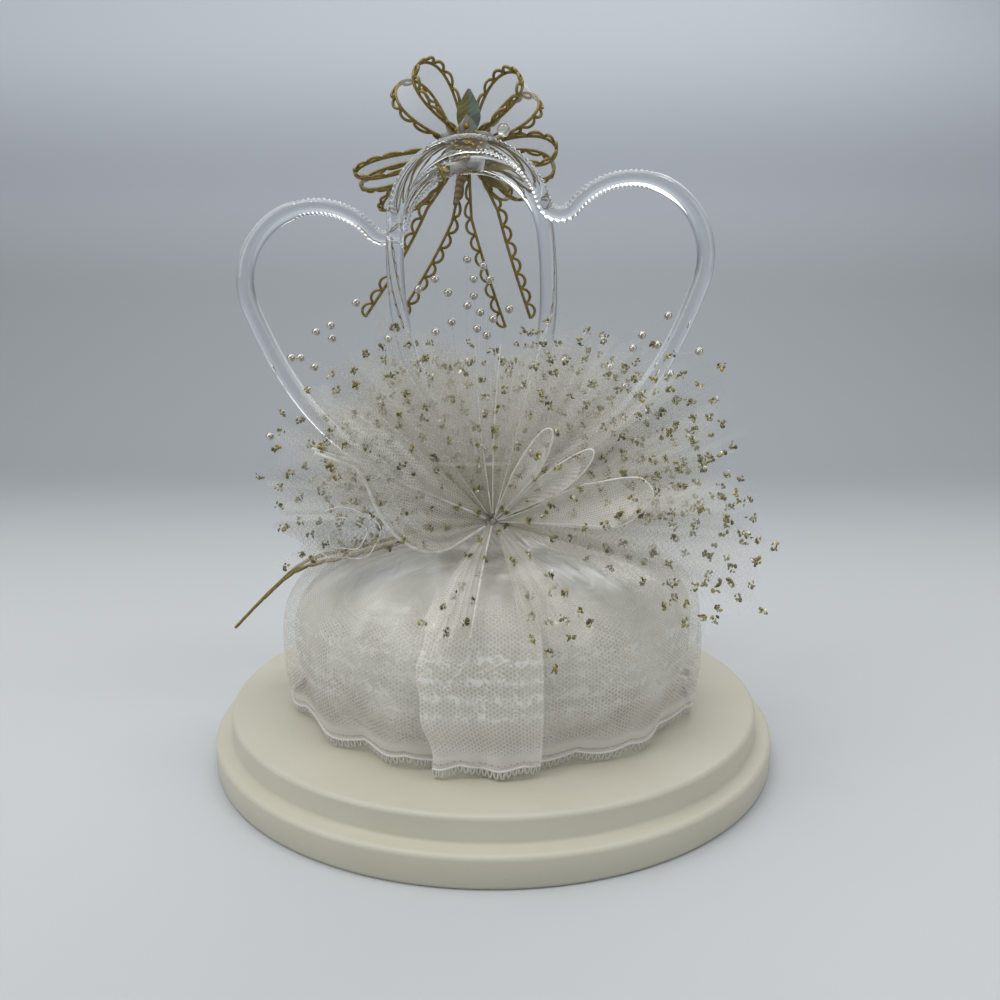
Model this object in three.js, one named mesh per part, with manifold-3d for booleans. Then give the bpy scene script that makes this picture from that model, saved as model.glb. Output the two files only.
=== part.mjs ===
// Wedding cake topper: two clear rod hearts on a lace-skirted pedestal, with a glitter net pouf,
// pearl sprays and a gold-edged bow, standing loose on a stepped round display base.
// Millimetres, +Z up. The origin is the centre of the base's underside, and -Y is the front.
import * as THREE from "three";
import { mergeVertices } from "three/addons/utils/BufferGeometryUtils.js";
import Module from "manifold-3d";

// Display base
const BASE_RADIUS = 86;
const BASE_HEIGHT = 15.8;
const LEDGE_HEIGHT = 8.6;
const LEDGE_WIDTH = 4.8;
const EDGE_ROUND = 1;
const FOOT_CHAMFER = 0.8;

// Clearance between pieces that touch
const FIT_GAP = 0.3;

// Pedestal and the forked holder on it
const FOOT_RADIUS = 46;
const FOOT_THICKNESS = 3;
const COLUMN_RADIUS = 17;
const HOLDER_RADIUS = 15;
const HOLDER_FLOOR = 5.6;
const HOLDER_CHEEK_HEIGHT = 13;

// Hearts: one rod bent to a loop
const ROD_DIAMETER = 5.3;
const LOBE_RADIUS = 22;
const LOBE_SPACING = 48;
const LOBE_HEIGHT = 79.6;
const CLEFT_RADIUS = 5;
const TIP_RADIUS = 4;
const SIDE_ANGLE = 8;
const TIP_ANGLE = 50;
const SIDE_FULLNESS = 36;
const LEFT_TILT = 14.3;
const RIGHT_TILT = 11.5;
const HEART_CENTRE = -6.2;
const LEFT_TIP_ACROSS = -3.7;
const RIGHT_TIP_ACROSS = 7.2;
const HEART_STEP = 5;

// Skirts
const SKIRT_RADIUS = 62;
const SKIRT_HEM_RADIUS = 58;
const SKIRT_BULGE_HEIGHT = 22;
const SKIRT_HEIGHT = 48;
const SKIRT_NECK_RADIUS = 22;
const LACE_TOP = 0.28;
const LAP_TOP = 0.24;
const LAP_FROM = -107;
const LAP_TO = -79;
const LACE_FOLDS = 13;
const LACE_FOLD_DEPTH = 3.2;
const LACE_SCALLOP_DEPTH = 1.6;
const CLOTH_THICKNESS = 0.6;

// Net pouf
const GATHER_FORWARD = 31;
const GATHER_HEIGHT = 59;
const GATHER_RADIUS = 6;
const NET_REACH_UP = 48;
const NET_REACH_SIDE = 16;
const NET_REACH_RIGHT = 6.5;
const NET_THICKNESS = 0.4;
const PLEAT_ANGLE = 16;
const PLEAT_SWING = 5;

// Pearl sprays
const PEARL_DIAMETER = 2.6;
const FILAMENT_DIAMETER = 0.6;
const SPRAY_BACK = 12;
const SPRAY_INNER_BACK = 9.5;
const SPRAY_WOBBLE = 1;
const SPRAY_PITCH = 5;
const SPRAY_BUD_RADIUS = 1.8;

// Bow
const RIBBON_WIDTH = 10;
const RIBBON_THICKNESS = 0.4;
const KNOT_RADIUS = 3.4;
const KNOT_RISE = 6.6;
const KNOT_SHIFT = 1.6;
const BOW_CLEARANCE = 2;
const RIBBON_END_REACH = 17;
const RIBBON_END_FALL = 26;
const WIRE_DIAMETER = 0.9;
const WIRE_TURN = 25;
const BEAD_DIAMETER = 4;
const FLOWER_RADIUS = 7;
const FLOWER_CUP = 3;
const STAMEN_RADIUS = 1.1;
const STEM_AIM = -103;
const STEM_LEAN = 14;
const STEM_LENGTH = 18;
const STEM_RADIUS = 2;
const STEM_END_RADIUS = 0.7;

// Colours
const IVORY = 0xd9d3bf;
const WHITE = 0xe8e6e0;
const CLEAR = 0xdfe6ea;
const NET_WHITE = 0xe4e2da;
const OLD_GOLD = 0x8f7a3c;
const PEARL = 0xcfc9ba;
const LEAF_GREEN = 0x6f8f7c;

const radians = THREE.MathUtils.degToRad;
const lerp = THREE.MathUtils.lerp;
const turn = 2 * Math.PI;

const wasm = await Module();
wasm.setup();

// A closed geometry as a solid that can be joined and cut.
function solidOf(geometry) {
  const bare = geometry.index ? geometry.toNonIndexed() : geometry.clone();
  bare.deleteAttribute("normal");
  bare.deleteAttribute("uv");
  const merged = mergeVertices(bare, 1e-4);
  return new wasm.Manifold(
    new wasm.Mesh({
      numProp: 3,
      vertProperties: merged.attributes.position.array,
      triVerts: new Uint32Array(merged.index.array),
    }),
  );
}

function geometryOf(solid) {
  const mesh = solid.getMesh();
  const geometry = new THREE.BufferGeometry();
  geometry.setAttribute("position", new THREE.BufferAttribute(mesh.vertProperties, 3));
  geometry.setIndex(new THREE.BufferAttribute(mesh.triVerts, 1));
  geometry.computeVertexNormals();
  return geometry;
}

function joined(geometries) {
  return geometryOf(geometries.map(solidOf).reduce((whole, next) => whole.add(next)));
}

function indexed(positions, faces) {
  const geometry = new THREE.BufferGeometry();
  geometry.setAttribute("position", new THREE.Float32BufferAttribute(positions, 3));
  geometry.setIndex(faces);
  geometry.computeVertexNormals();
  return geometry;
}

// A turned piece: the profile runs up from the axis and back to it, and spins round Z.
function turned(profile, segments) {
  return new THREE.LatheGeometry(profile, segments).rotateX(Math.PI / 2);
}

// A thin sheet as a closed solid. pointAt(u, v) is its middle surface for u and v from 0 to 1,
// and a ring joins u = 1 to u = 0.
function sheet({ columns, rows, thickness, ring = false, pointAt }) {
  const across = ring ? columns : columns + 1;
  const step = 1e-3;
  const positions = [];
  for (const side of [0.5, -0.5]) {
    for (let row = 0; row <= rows; row++) {
      for (let column = 0; column < across; column++) {
        const u = column / columns;
        const v = row / rows;
        const before = pointAt(ring ? u - step : Math.max(u - step, 0), v);
        const after = pointAt(ring ? u + step : Math.min(u + step, 1), v);
        const below = pointAt(u, Math.max(v - step, 0));
        const above = pointAt(u, Math.min(v + step, 1));
        const normal = after.sub(before).cross(above.sub(below)).normalize();
        pointAt(u, v).addScaledVector(normal, side * thickness).toArray(positions, positions.length);
      }
    }
  }
  const back = across * (rows + 1);
  const at = (column, row, offset) => offset + row * across + (column % across);
  const faces = [];
  const quad = (a, b, c, d) => faces.push(a, b, c, a, c, d);
  for (let row = 0; row < rows; row++) {
    for (let column = 0; column < columns; column++) {
      const next = column + 1;
      const up = row + 1;
      quad(at(column, row, 0), at(next, row, 0), at(next, up, 0), at(column, up, 0));
      quad(at(column, row, back), at(column, up, back), at(next, up, back), at(next, row, back));
    }
    if (!ring) {
      const up = row + 1;
      quad(at(0, row, 0), at(0, up, 0), at(0, up, back), at(0, row, back));
      quad(at(columns, row, 0), at(columns, row, back), at(columns, up, back), at(columns, up, 0));
    }
  }
  for (let column = 0; column < columns; column++) {
    const next = column + 1;
    quad(at(column, 0, 0), at(column, 0, back), at(next, 0, back), at(next, 0, 0));
    quad(at(column, rows, 0), at(next, rows, 0), at(next, rows, back), at(column, rows, back));
  }
  return indexed(positions, faces);
}

// A closed ring of sections: sectionAt(k) gives the points of section k of count.
function ringOfSections(count, sectionAt) {
  const positions = [];
  let points = 0;
  for (let k = 0; k < count; k++) {
    const section = sectionAt(k);
    points = section.length;
    section.forEach((point) => point.toArray(positions, positions.length));
  }
  const faces = [];
  for (let k = 0; k < count; k++) {
    const here = k * points;
    const next = ((k + 1) % count) * points;
    for (let i = 0; i < points; i++) {
      const j = (i + 1) % points;
      faces.push(here + i, next + i, next + j, here + i, next + j, here + j);
    }
  }
  return indexed(positions, faces);
}

// A short round stick between two points, wider at its start if startRadius says so.
function stick(from, to, radius, sides, startRadius = radius) {
  const along = new THREE.Vector3().subVectors(to, from);
  const geometry = new THREE.CylinderGeometry(radius, startRadius, along.length(), sides);
  const middle = new THREE.Vector3().addVectors(from, to).multiplyScalar(0.5);
  const turnTo = new THREE.Quaternion().setFromUnitVectors(
    new THREE.Vector3(0, 1, 0),
    along.clone().normalize(),
  );
  return geometry.applyQuaternion(turnTo).translate(middle.x, middle.y, middle.z);
}

const part = new THREE.Group();
const topper = new THREE.Group();
topper.position.z = BASE_HEIGHT + FIT_GAP;
part.add(topper);

function add(parent, name, geometry, color, roughness, metalness = 0) {
  const material = new THREE.MeshStandardMaterial({ color, roughness, metalness });
  const mesh = new THREE.Mesh(geometry, material);
  mesh.name = name;
  parent.add(mesh);
  return mesh;
}

// Display base: a stepped disc with a ledge round it
function displayBase() {
  const upper = BASE_RADIUS - LEDGE_WIDTH;
  const outline = new THREE.Path();
  outline.moveTo(0, 0);
  outline.lineTo(BASE_RADIUS - FOOT_CHAMFER, 0);
  outline.lineTo(BASE_RADIUS, FOOT_CHAMFER);
  outline.lineTo(BASE_RADIUS, LEDGE_HEIGHT - EDGE_ROUND);
  outline.absarc(BASE_RADIUS - EDGE_ROUND, LEDGE_HEIGHT - EDGE_ROUND, EDGE_ROUND, 0, Math.PI / 2);
  outline.lineTo(upper, LEDGE_HEIGHT);
  outline.lineTo(upper, BASE_HEIGHT - EDGE_ROUND);
  outline.absarc(upper - EDGE_ROUND, BASE_HEIGHT - EDGE_ROUND, EDGE_ROUND, 0, Math.PI / 2);
  outline.lineTo(0, BASE_HEIGHT);
  return turned(outline.getPoints(1), 60);
}
add(part, "display_base", displayBase(), IVORY, 0.55);

// Pedestal: a moulded foot and column, with a plate on top
const pedestalTop = SKIRT_HEIGHT + FIT_GAP;
function pedestal() {
  const outline = new THREE.Path();
  outline.moveTo(0, 0);
  outline.lineTo(FOOT_RADIUS, 0);
  outline.lineTo(FOOT_RADIUS, FOOT_THICKNESS);
  outline.lineTo(COLUMN_RADIUS, FOOT_THICKNESS);
  outline.lineTo(COLUMN_RADIUS, pedestalTop);
  outline.lineTo(0, pedestalTop);
  return turned(outline.getPoints(), 32);
}
add(topper, "pedestal", pedestal(), WHITE, 0.4);

// Hearts
const rodRadius = ROD_DIAMETER / 2;
const heartDepth = rodRadius + FIT_GAP / 2;
const lobeHalf = LOBE_SPACING / 2;

// The rod's centre line, with the tip's outside at the origin and the lobes up.
function heartOutline() {
  const side = radians(SIDE_ANGLE);
  const tip = radians(TIP_ANGLE);
  const reach = LOBE_RADIUS + CLEFT_RADIUS;
  const cleftHeight = LOBE_HEIGHT + Math.sqrt(reach * reach - lobeHalf * lobeHalf);
  const cleftTurn = Math.atan2(cleftHeight - LOBE_HEIGHT, lobeHalf);
  const tipHeight = TIP_RADIUS + rodRadius;
  const flank = new THREE.Vector2(
    lobeHalf + LOBE_RADIUS * Math.cos(side),
    LOBE_HEIGHT - LOBE_RADIUS * Math.sin(side),
  );
  const toe = new THREE.Vector2(TIP_RADIUS * Math.cos(tip), tipHeight - TIP_RADIUS * Math.sin(tip));
  const upperPull = new THREE.Vector2(-Math.sin(side), -Math.cos(side));
  const lowerPull = new THREE.Vector2(Math.sin(tip), Math.cos(tip));
  upperPull.multiplyScalar(SIDE_FULLNESS).add(flank);
  lowerPull.multiplyScalar(SIDE_FULLNESS).add(toe);
  const outline = new THREE.Path();
  outline.moveTo(0, cleftHeight - CLEFT_RADIUS);
  outline.absarc(0, cleftHeight, CLEFT_RADIUS, -Math.PI / 2, -cleftTurn, false);
  outline.absarc(lobeHalf, LOBE_HEIGHT, LOBE_RADIUS, Math.PI - cleftTurn, -side, true);
  outline.bezierCurveTo(upperPull.x, upperPull.y, lowerPull.x, lowerPull.y, toe.x, toe.y);
  outline.absarc(0, tipHeight, TIP_RADIUS, -tip, tip - Math.PI, true);
  outline.bezierCurveTo(-lowerPull.x, lowerPull.y, -upperPull.x, upperPull.y, -flank.x, flank.y);
  outline.absarc(-lobeHalf, LOBE_HEIGHT, LOBE_RADIUS, Math.PI + side, cleftTurn, true);
  outline.absarc(0, cleftHeight, CLEFT_RADIUS, cleftTurn - Math.PI, -Math.PI / 2, false);
  return outline;
}

function heart() {
  const steps = 76;
  const sides = 7;
  const centreLine = heartOutline().getSpacedPoints(steps);
  return ringOfSections(steps, (k) => {
    const here = centreLine[k];
    const ahead = centreLine[(k + 1) % steps];
    const behind = centreLine[(k + steps - 1) % steps];
    const along = new THREE.Vector2().subVectors(ahead, behind).normalize();
    const section = [];
    for (let i = 0; i < sides; i++) {
      const angle = (turn * i) / sides;
      const out = rodRadius * Math.cos(angle);
      section.push(
        new THREE.Vector3(
          here.x - along.y * out,
          rodRadius * Math.sin(angle),
          here.y + along.x * out,
        ),
      );
    }
    return section;
  });
}

const lowFloor = pedestalTop + FIT_GAP + HOLDER_FLOOR;
const leftTip = new THREE.Vector3(
  HEART_CENTRE + LEFT_TIP_ACROSS,
  heartDepth,
  lowFloor + FIT_GAP,
);
const rightTip = new THREE.Vector3(
  HEART_CENTRE + RIGHT_TIP_ACROSS,
  -heartDepth,
  lowFloor + FIT_GAP + HEART_STEP,
);
const leftHeart = add(topper, "heart_left", heart(), CLEAR, 0.05);
leftHeart.position.copy(leftTip);
leftHeart.rotation.y = -radians(LEFT_TILT);
const rightHeart = add(topper, "heart_right", heart(), CLEAR, 0.05);
rightHeart.position.copy(rightTip);
rightHeart.rotation.y = radians(RIGHT_TILT);

// Forked holder: two cheeks clamp the tips, on a floor stepped to the hearts' heights
const holderTop = lowFloor + HEART_STEP + HOLDER_CHEEK_HEIGHT;
function heartHolder() {
  const bottom = pedestalTop + FIT_GAP;
  const height = holderTop - bottom;
  const block = new THREE.CylinderGeometry(HOLDER_RADIUS, HOLDER_RADIUS, height, 28);
  block.rotateX(Math.PI / 2).translate(HEART_CENTRE, 0, bottom + height / 2);
  const slot = (front, floor) => {
    const thick = ROD_DIAMETER + FIT_GAP * 1.5;
    const tall = holderTop - floor;
    const box = new THREE.BoxGeometry(4 * HOLDER_RADIUS, thick + FIT_GAP, tall * 2);
    return box.translate(HEART_CENTRE, front * (thick / 2 - FIT_GAP / 2), floor + tall);
  };
  const whole = solidOf(block);
  return geometryOf(
    whole.subtract(solidOf(slot(1, lowFloor))).subtract(solidOf(slot(-1, lowFloor + HEART_STEP))),
  );
}
add(topper, "heart_holder", heartHolder(), WHITE, 0.4);

// Skirts: a puffed organza underskirt, and gathered lace over it
// The puff's outline for v from 0 at the neck to 1 at the hem.
function puffAt(v) {
  const shoulder = 0.55;
  if (v < shoulder) {
    const angle = (Math.PI / 2) * (v / shoulder);
    return {
      radius: lerp(SKIRT_NECK_RADIUS, SKIRT_RADIUS, Math.sin(angle)),
      height: lerp(SKIRT_BULGE_HEIGHT, SKIRT_HEIGHT, Math.cos(angle) ** 0.75),
    };
  }
  const fall = (v - shoulder) / (1 - shoulder);
  return {
    radius: lerp(SKIRT_RADIUS, SKIRT_HEM_RADIUS, fall * fall),
    height: lerp(SKIRT_BULGE_HEIGHT, 0, fall),
  };
}

function underskirt() {
  const columns = 32;
  const rows = 7;
  const inner = COLUMN_RADIUS + FIT_GAP;
  const clearFoot = FOOT_RADIUS + FIT_GAP;
  const overFoot = FOOT_THICKNESS + FIT_GAP;
  return ringOfSections(columns, (k) => {
    const angle = (turn * k) / columns;
    const spin = (radius, height) =>
      new THREE.Vector3(radius * Math.cos(angle), radius * Math.sin(angle), height);
    const section = [];
    for (let row = rows; row >= 0; row--) {
      const { radius, height } = puffAt(row / rows);
      section.push(spin(radius, height));
    }
    section.push(spin(inner, SKIRT_HEIGHT));
    section.push(spin(inner, overFoot));
    section.push(spin(clearFoot, overFoot));
    section.push(spin(clearFoot, 0));
    return section;
  });
}
add(topper, "organza_underskirt", underskirt(), WHITE, 0.5);

// Lace stands off the puff, its folds deepen towards the hem, and the hem is scalloped.
const laceStandOff = CLOTH_THICKNESS + 3 * FIT_GAP;
function lacePoint(angle, v, top, standOff, foldShare) {
  const down = lerp(top, 1, v);
  const { radius, height } = puffAt(down);
  const out = radius + standOff + LACE_FOLD_DEPTH * down * foldShare;
  const lift = LACE_SCALLOP_DEPTH * down ** 6 * Math.abs(Math.sin(LACE_FOLDS * angle));
  const rise = FIT_GAP + lift + standOff * (1 - down);
  return new THREE.Vector3(out * Math.cos(angle), out * Math.sin(angle), height + rise);
}

add(
  topper,
  "lace_skirt",
  sheet({
    columns: LACE_FOLDS * 4,
    rows: 5,
    thickness: CLOTH_THICKNESS,
    ring: true,
    pointAt: (u, v) => {
      const fold = 0.5 + 0.5 * Math.cos(LACE_FOLDS * turn * u);
      return lacePoint(turn * u, v, LACE_TOP, laceStandOff, fold);
    },
  }),
  NET_WHITE,
  0.8,
);

// The lace strip's free end laps over the front
add(
  topper,
  "lace_front_lap",
  sheet({
    columns: 10,
    rows: 5,
    thickness: CLOTH_THICKNESS,
    pointAt: (u, v) => {
      const angle = radians(lerp(LAP_FROM, LAP_TO, u));
      return lacePoint(angle, v, LAP_TOP, laceStandOff + CLOTH_THICKNESS + 3 * FIT_GAP, 1);
    },
  }),
  NET_WHITE,
  0.8,
);

// Net pouf: pleated fans of net that spread from one gather in front of the hearts and one behind.
// A fan's directions are angles round its gather: from up towards +X, leaning away from the hearts.
function netReach(angle) {
  const across = Math.sin(angle);
  return NET_REACH_UP + NET_REACH_SIDE * Math.abs(across) + NET_REACH_RIGHT * across;
}

function gatherAt(facing) {
  return new THREE.Vector3(facing < 0 ? 0 : HEART_CENTRE, facing * GATHER_FORWARD, GATHER_HEIGHT);
}

function netFan(fan) {
  const { facing = -1, lean, from, to, share } = fan;
  const { droop = 0, swing = PLEAT_SWING, rounded = 0 } = fan;
  const pleats = Math.max(1, Math.round((to - from) / PLEAT_ANGLE));
  const gather = gatherAt(facing);
  return sheet({
    columns: 4 * pleats,
    rows: 3,
    thickness: NET_THICKNESS,
    pointAt: (u, v) => {
      const angle = radians(lerp(from, to, u));
      const edge = netReach(angle) * share * (1 - rounded * (2 * u - 1) ** 2);
      const out = lerp(GATHER_RADIUS, edge, v);
      const tilt = radians(lean + swing * Math.cos(turn * pleats * u));
      return new THREE.Vector3(
        out * Math.cos(tilt) * Math.sin(angle),
        facing * out * Math.sin(tilt),
        out * Math.cos(tilt) * Math.cos(angle) - droop * v * v,
      ).add(gather);
    },
  });
}

const netFans = {
  net_back_fan: { lean: -14, from: -84, to: 92, share: 1 },
  net_left_lobe: { lean: 5, from: -104, to: -8, share: 1 },
  net_right_lobe: { lean: 5, from: 0, to: 104, share: 1.02 },
  net_left_wing: { lean: 24, from: -104, to: -40, share: 0.97, droop: 3 },
  net_right_wing: { lean: 24, from: 60, to: 108, share: 1, droop: 4 },
  net_front_left_fall: { lean: 68, from: -168, to: -112, share: 0.82, droop: 7, swing: 3 },
  net_front_right_fall: { lean: 62, from: 108, to: 160, share: 0.74, droop: 6, swing: 3 },
  net_petal_inner: { lean: 46, from: 22, to: 40, share: 0.66, rounded: 0.4 },
  net_petal_middle: { lean: 46, from: 45, to: 63, share: 0.66, rounded: 0.4 },
  net_petal_outer: { lean: 46, from: 68, to: 92, share: 0.78, rounded: 0.4 },
  net_rear_left_lobe: { facing: 1, lean: 8, from: -104, to: -6, share: 1 },
  net_rear_right_lobe: { facing: 1, lean: 8, from: 2, to: 104, share: 0.95 },
};
for (const [name, fan] of Object.entries(netFans)) {
  add(topper, name, netFan(fan), NET_WHITE, 0.8);
}

// Each gather is tied over a knob on a peg that ends at the holder's cheek
function gatherTie(facing) {
  const knobRadius = GATHER_RADIUS - NET_THICKNESS / 2 - FIT_GAP;
  const gather = gatherAt(facing);
  const pegRadius = knobRadius / 3;
  const nearest = Math.max(0, Math.abs(gather.x - HEART_CENTRE) - pegRadius);
  const cheek = Math.sqrt(HOLDER_RADIUS * HOLDER_RADIUS - nearest * nearest);
  const seat = new THREE.Vector3(gather.x, facing * (cheek + FIT_GAP), GATHER_HEIGHT);
  const knob = new THREE.SphereGeometry(knobRadius, 12, 8).rotateX(Math.PI / 2);
  knob.translate(gather.x, gather.y, gather.z);
  return joined([knob, stick(seat, gather, pegRadius, 8)]);
}
add(topper, "front_gather_tie", gatherTie(-1), WHITE, 0.6);
add(topper, "rear_gather_tie", gatherTie(1), WHITE, 0.6);

// Pearl sprays: filaments that rise from the holder's rear cheek, each with a pearl on its end.
// Each pearl is given across from the hearts' centre and up from the holder's top.
const pearlSprays = {
  pearl_spray_left: {
    depth: SPRAY_BACK,
    pearls: [
      [-37, 48], [-50, 39], [-45, 41], [-45, 37], [-58, 31],
      [-55, 31], [-51, 28], [-27, 37], [-66, 6],
    ],
  },
  pearl_spray_inner_left: {
    depth: SPRAY_INNER_BACK,
    pearls: [[-12, 55], [-8, 51], [-17, 52], [-7, 42], [-12, 39], [-2, 47], [-2, 61]],
  },
  pearl_spray_inner_right: {
    depth: SPRAY_INNER_BACK,
    pearls: [[3, 59], [5, 55], [0, 55], [0, 50], [2, 45], [6, 43], [11, 46], [1, 40], [4, 38]],
  },
  pearl_spray_right: {
    depth: SPRAY_BACK,
    pearls: [
      [61, 44], [53, 38], [50, 34], [58, 35], [60, 31],
      [71, 33], [57, 27], [62, 26], [43, 28], [48, 22],
    ],
  },
};
function pearlSpray(root, { depth, pearls }) {
  const pieces = pearls.map(([across, up], k) => {
    const back = depth + SPRAY_WOBBLE * Math.sin(2.4 * k);
    const end = new THREE.Vector3(HEART_CENTRE + across, back, holderTop + up);
    const pearl = new THREE.SphereGeometry(PEARL_DIAMETER / 2, 6, 3).translate(end.x, end.y, end.z);
    return [pearl, stick(root, end, FILAMENT_DIAMETER / 2, 3)];
  });
  const bud = new THREE.SphereGeometry(SPRAY_BUD_RADIUS, 7, 5);
  return joined([bud.translate(root.x, root.y, root.z), ...pieces.flat()]);
}
Object.entries(pearlSprays).forEach(([name, spray], k) => {
  const across = HEART_CENTRE + (k - 1.5) * SPRAY_PITCH;
  const root = new THREE.Vector3(across, SPRAY_BACK - 1, holderTop + FIT_GAP + SPRAY_BUD_RADIUS);
  add(topper, name, pearlSpray(root, spray), PEARL, 0.3);
});

// Bow: it hangs behind the hearts, wired to the left heart's inner lobe
const tilt = radians(LEFT_TILT);
const lobe = new THREE.Vector3(
  leftTip.x + lobeHalf * Math.cos(tilt) - LOBE_HEIGHT * Math.sin(tilt),
  leftTip.y,
  leftTip.z + lobeHalf * Math.sin(tilt) + LOBE_HEIGHT * Math.cos(tilt),
);
const flowerDepth = KNOT_RADIUS + FIT_GAP + NET_THICKNESS;
const knot = new THREE.Vector3(
  lobe.x - KNOT_SHIFT,
  lobe.y + rodRadius + BOW_CLEARANCE + FLOWER_CUP + flowerDepth,
  lobe.z + LOBE_RADIUS + KNOT_RISE,
);
const wireRadius = WIRE_DIAMETER / 2;

// A wire loop round the rod, with its end run to the knot
function bowWire() {
  const loopRadius = rodRadius + FIT_GAP + wireRadius;
  const around = radians(WIRE_TURN);
  const hold = lobe.clone();
  hold.x -= LOBE_RADIUS * Math.sin(around);
  hold.z += LOBE_RADIUS * Math.cos(around);
  const loop = new THREE.TorusGeometry(loopRadius, wireRadius, 6, 16);
  loop.rotateY(Math.PI / 2 - around).translate(hold.x, hold.y, hold.z);
  const start = hold.clone().add(new THREE.Vector3(0, loopRadius, 0));
  const toKnot = new THREE.Vector3().subVectors(knot, start);
  const reach = 1 - (KNOT_RADIUS + FIT_GAP) / toKnot.length();
  const end = start.clone().addScaledVector(toKnot, reach);
  return joined([loop, stick(start, end, wireRadius, 6)]);
}
add(topper, "bow_wire", bowWire(), OLD_GOLD, 0.35, 1);
const knotBall = new THREE.SphereGeometry(KNOT_RADIUS, 12, 8).translate(knot.x, knot.y, knot.z);
add(topper, "bow_knot", knotBall, OLD_GOLD, 0.5);

// The ribbon's own directions: out from the knot, across the loop's opening, and along its width.
function ribbonAxes(aim, lean, roll) {
  const out = new THREE.Vector3(
    Math.cos(radians(lean)) * Math.cos(radians(aim)),
    -Math.sin(radians(lean)),
    Math.cos(radians(lean)) * Math.sin(radians(aim)),
  );
  const side = new THREE.Vector3(-Math.sin(radians(aim)), 0, Math.cos(radians(aim)));
  side.applyAxisAngle(out, radians(roll));
  return { out, side, width: new THREE.Vector3().crossVectors(out, side) };
}

const ribbonStart = KNOT_RADIUS + FIT_GAP + RIBBON_THICKNESS / 2;
const legGap = RIBBON_THICKNESS + FIT_GAP;

function ribbonLoop({ aim, lean, roll, length, opening }) {
  const { out, side, width } = ribbonAxes(aim, lean, roll);
  return sheet({
    columns: 18,
    rows: 1,
    thickness: RIBBON_THICKNESS,
    pointAt: (u, v) => {
      const swell = Math.sin(Math.PI * u);
      const across = (opening / 2) * Math.sin(turn * u) + legGap * (1 - 2 * u);
      const wide = RIBBON_WIDTH * lerp(0.2, 1, Math.sqrt(Math.max(swell, 0)));
      return knot
        .clone()
        .addScaledVector(out, ribbonStart + (length - ribbonStart) * swell)
        .addScaledVector(side, across)
        .addScaledVector(width, wide * (v - 0.5));
    },
  });
}

function ribbonTail({ aim, lean, roll, length, bend, sway }) {
  const { out, side, width } = ribbonAxes(aim, lean, roll);
  return sheet({
    columns: 10,
    rows: 1,
    thickness: RIBBON_THICKNESS,
    pointAt: (u, v) => {
      const wide = RIBBON_WIDTH * lerp(0.2, 1, Math.min(1, 3.3 * u));
      const arch = Math.sin(Math.PI * u);
      return knot
        .clone()
        .addScaledVector(out, lerp(ribbonStart, length, u))
        .addScaledVector(side, bend * arch)
        .addScaledVector(width, sway * arch + wide * (v - 0.5));
    },
  });
}

const bowLoops = {
  bow_loop_upper_left: { aim: 130, lean: 12, roll: 50, length: 27, opening: 14 },
  bow_loop_upper_right: { aim: 46, lean: 4, roll: -50, length: 25.5, opening: 13 },
  bow_loop_left: { aim: 195, lean: 2, roll: 10, length: 35, opening: 8 },
  bow_loop_lower_left: { aim: 210, lean: -28, roll: 10, length: 34, opening: 5 },
  bow_loop_right: { aim: -7, lean: 2, roll: -20, length: 27, opening: 9 },
  bow_loop_lower_right: { aim: -38, lean: -28, roll: -10, length: 22, opening: 6 },
};
for (const [name, loop] of Object.entries(bowLoops)) {
  add(topper, name, ribbonLoop(loop), OLD_GOLD, 0.4);
}
const bowTails = {
  bow_tail_right: { aim: -73, lean: -11, roll: 80, length: 55, bend: 1, sway: 1 },
  bow_tail_left: { aim: -120.5, lean: -10, roll: 75, length: 61, bend: 0, sway: -2 },
};
for (const [name, tail] of Object.entries(bowTails)) {
  add(topper, name, ribbonTail(tail), OLD_GOLD, 0.4);
}

// Silk flower, gold stamens, leaves and beads in front of the knot
const flowerCentre = knot.clone();
flowerCentre.y -= flowerDepth;
add(
  topper,
  "silk_flower",
  sheet({
    columns: 20,
    rows: 3,
    thickness: NET_THICKNESS,
    ring: true,
    pointAt: (u, v) => {
      const petal = 0.7 + 0.3 * Math.abs(Math.cos(2.5 * turn * u));
      const out = lerp(1, FLOWER_RADIUS * petal, v);
      const cup = FLOWER_CUP * v * v;
      const place = new THREE.Vector3(out * Math.cos(turn * u), -cup, out * Math.sin(turn * u));
      return place.add(flowerCentre);
    },
  }),
  WHITE,
  0.7,
);

function stamens() {
  const middleRadius = 1.5 * STAMEN_RADIUS;
  const ringRadius = 1.6 * STAMEN_RADIUS;
  const heads = [new THREE.IcosahedronGeometry(middleRadius, 0)];
  const around = 6;
  for (let k = 0; k < around; k++) {
    const head = new THREE.IcosahedronGeometry(STAMEN_RADIUS, 0);
    const angle = (turn * k) / around;
    heads.push(head.translate(ringRadius * Math.cos(angle), 0, ringRadius * Math.sin(angle)));
  }
  const back = middleRadius + NET_THICKNESS / 2 + FIT_GAP;
  return joined(heads).translate(flowerCentre.x, flowerCentre.y - back, flowerCentre.z);
}
add(topper, "gold_stamens", stamens(), OLD_GOLD, 0.3, 1);

function leaf({ aim, lean, length, wide }) {
  const { out, side } = ribbonAxes(aim, lean, 0);
  return sheet({
    columns: 8,
    rows: 2,
    thickness: NET_THICKNESS,
    pointAt: (u, v) => {
      const half = NET_THICKNESS + (wide / 2) * Math.sin(Math.PI * u ** 0.8);
      return knot
        .clone()
        .addScaledVector(out, lerp(ribbonStart, length, u))
        .addScaledVector(side, half * (2 * v - 1));
    },
  });
}
const greenLeaf = leaf({ aim: 88, lean: 16, length: 17, wide: 6.5 });
add(topper, "green_leaf", greenLeaf, LEAF_GREEN, 0.6);
const goldLeaf = leaf({ aim: -46, lean: 12, length: 18, wide: 5 });
add(topper, "gold_leaf", goldLeaf, OLD_GOLD, 0.5);

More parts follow.
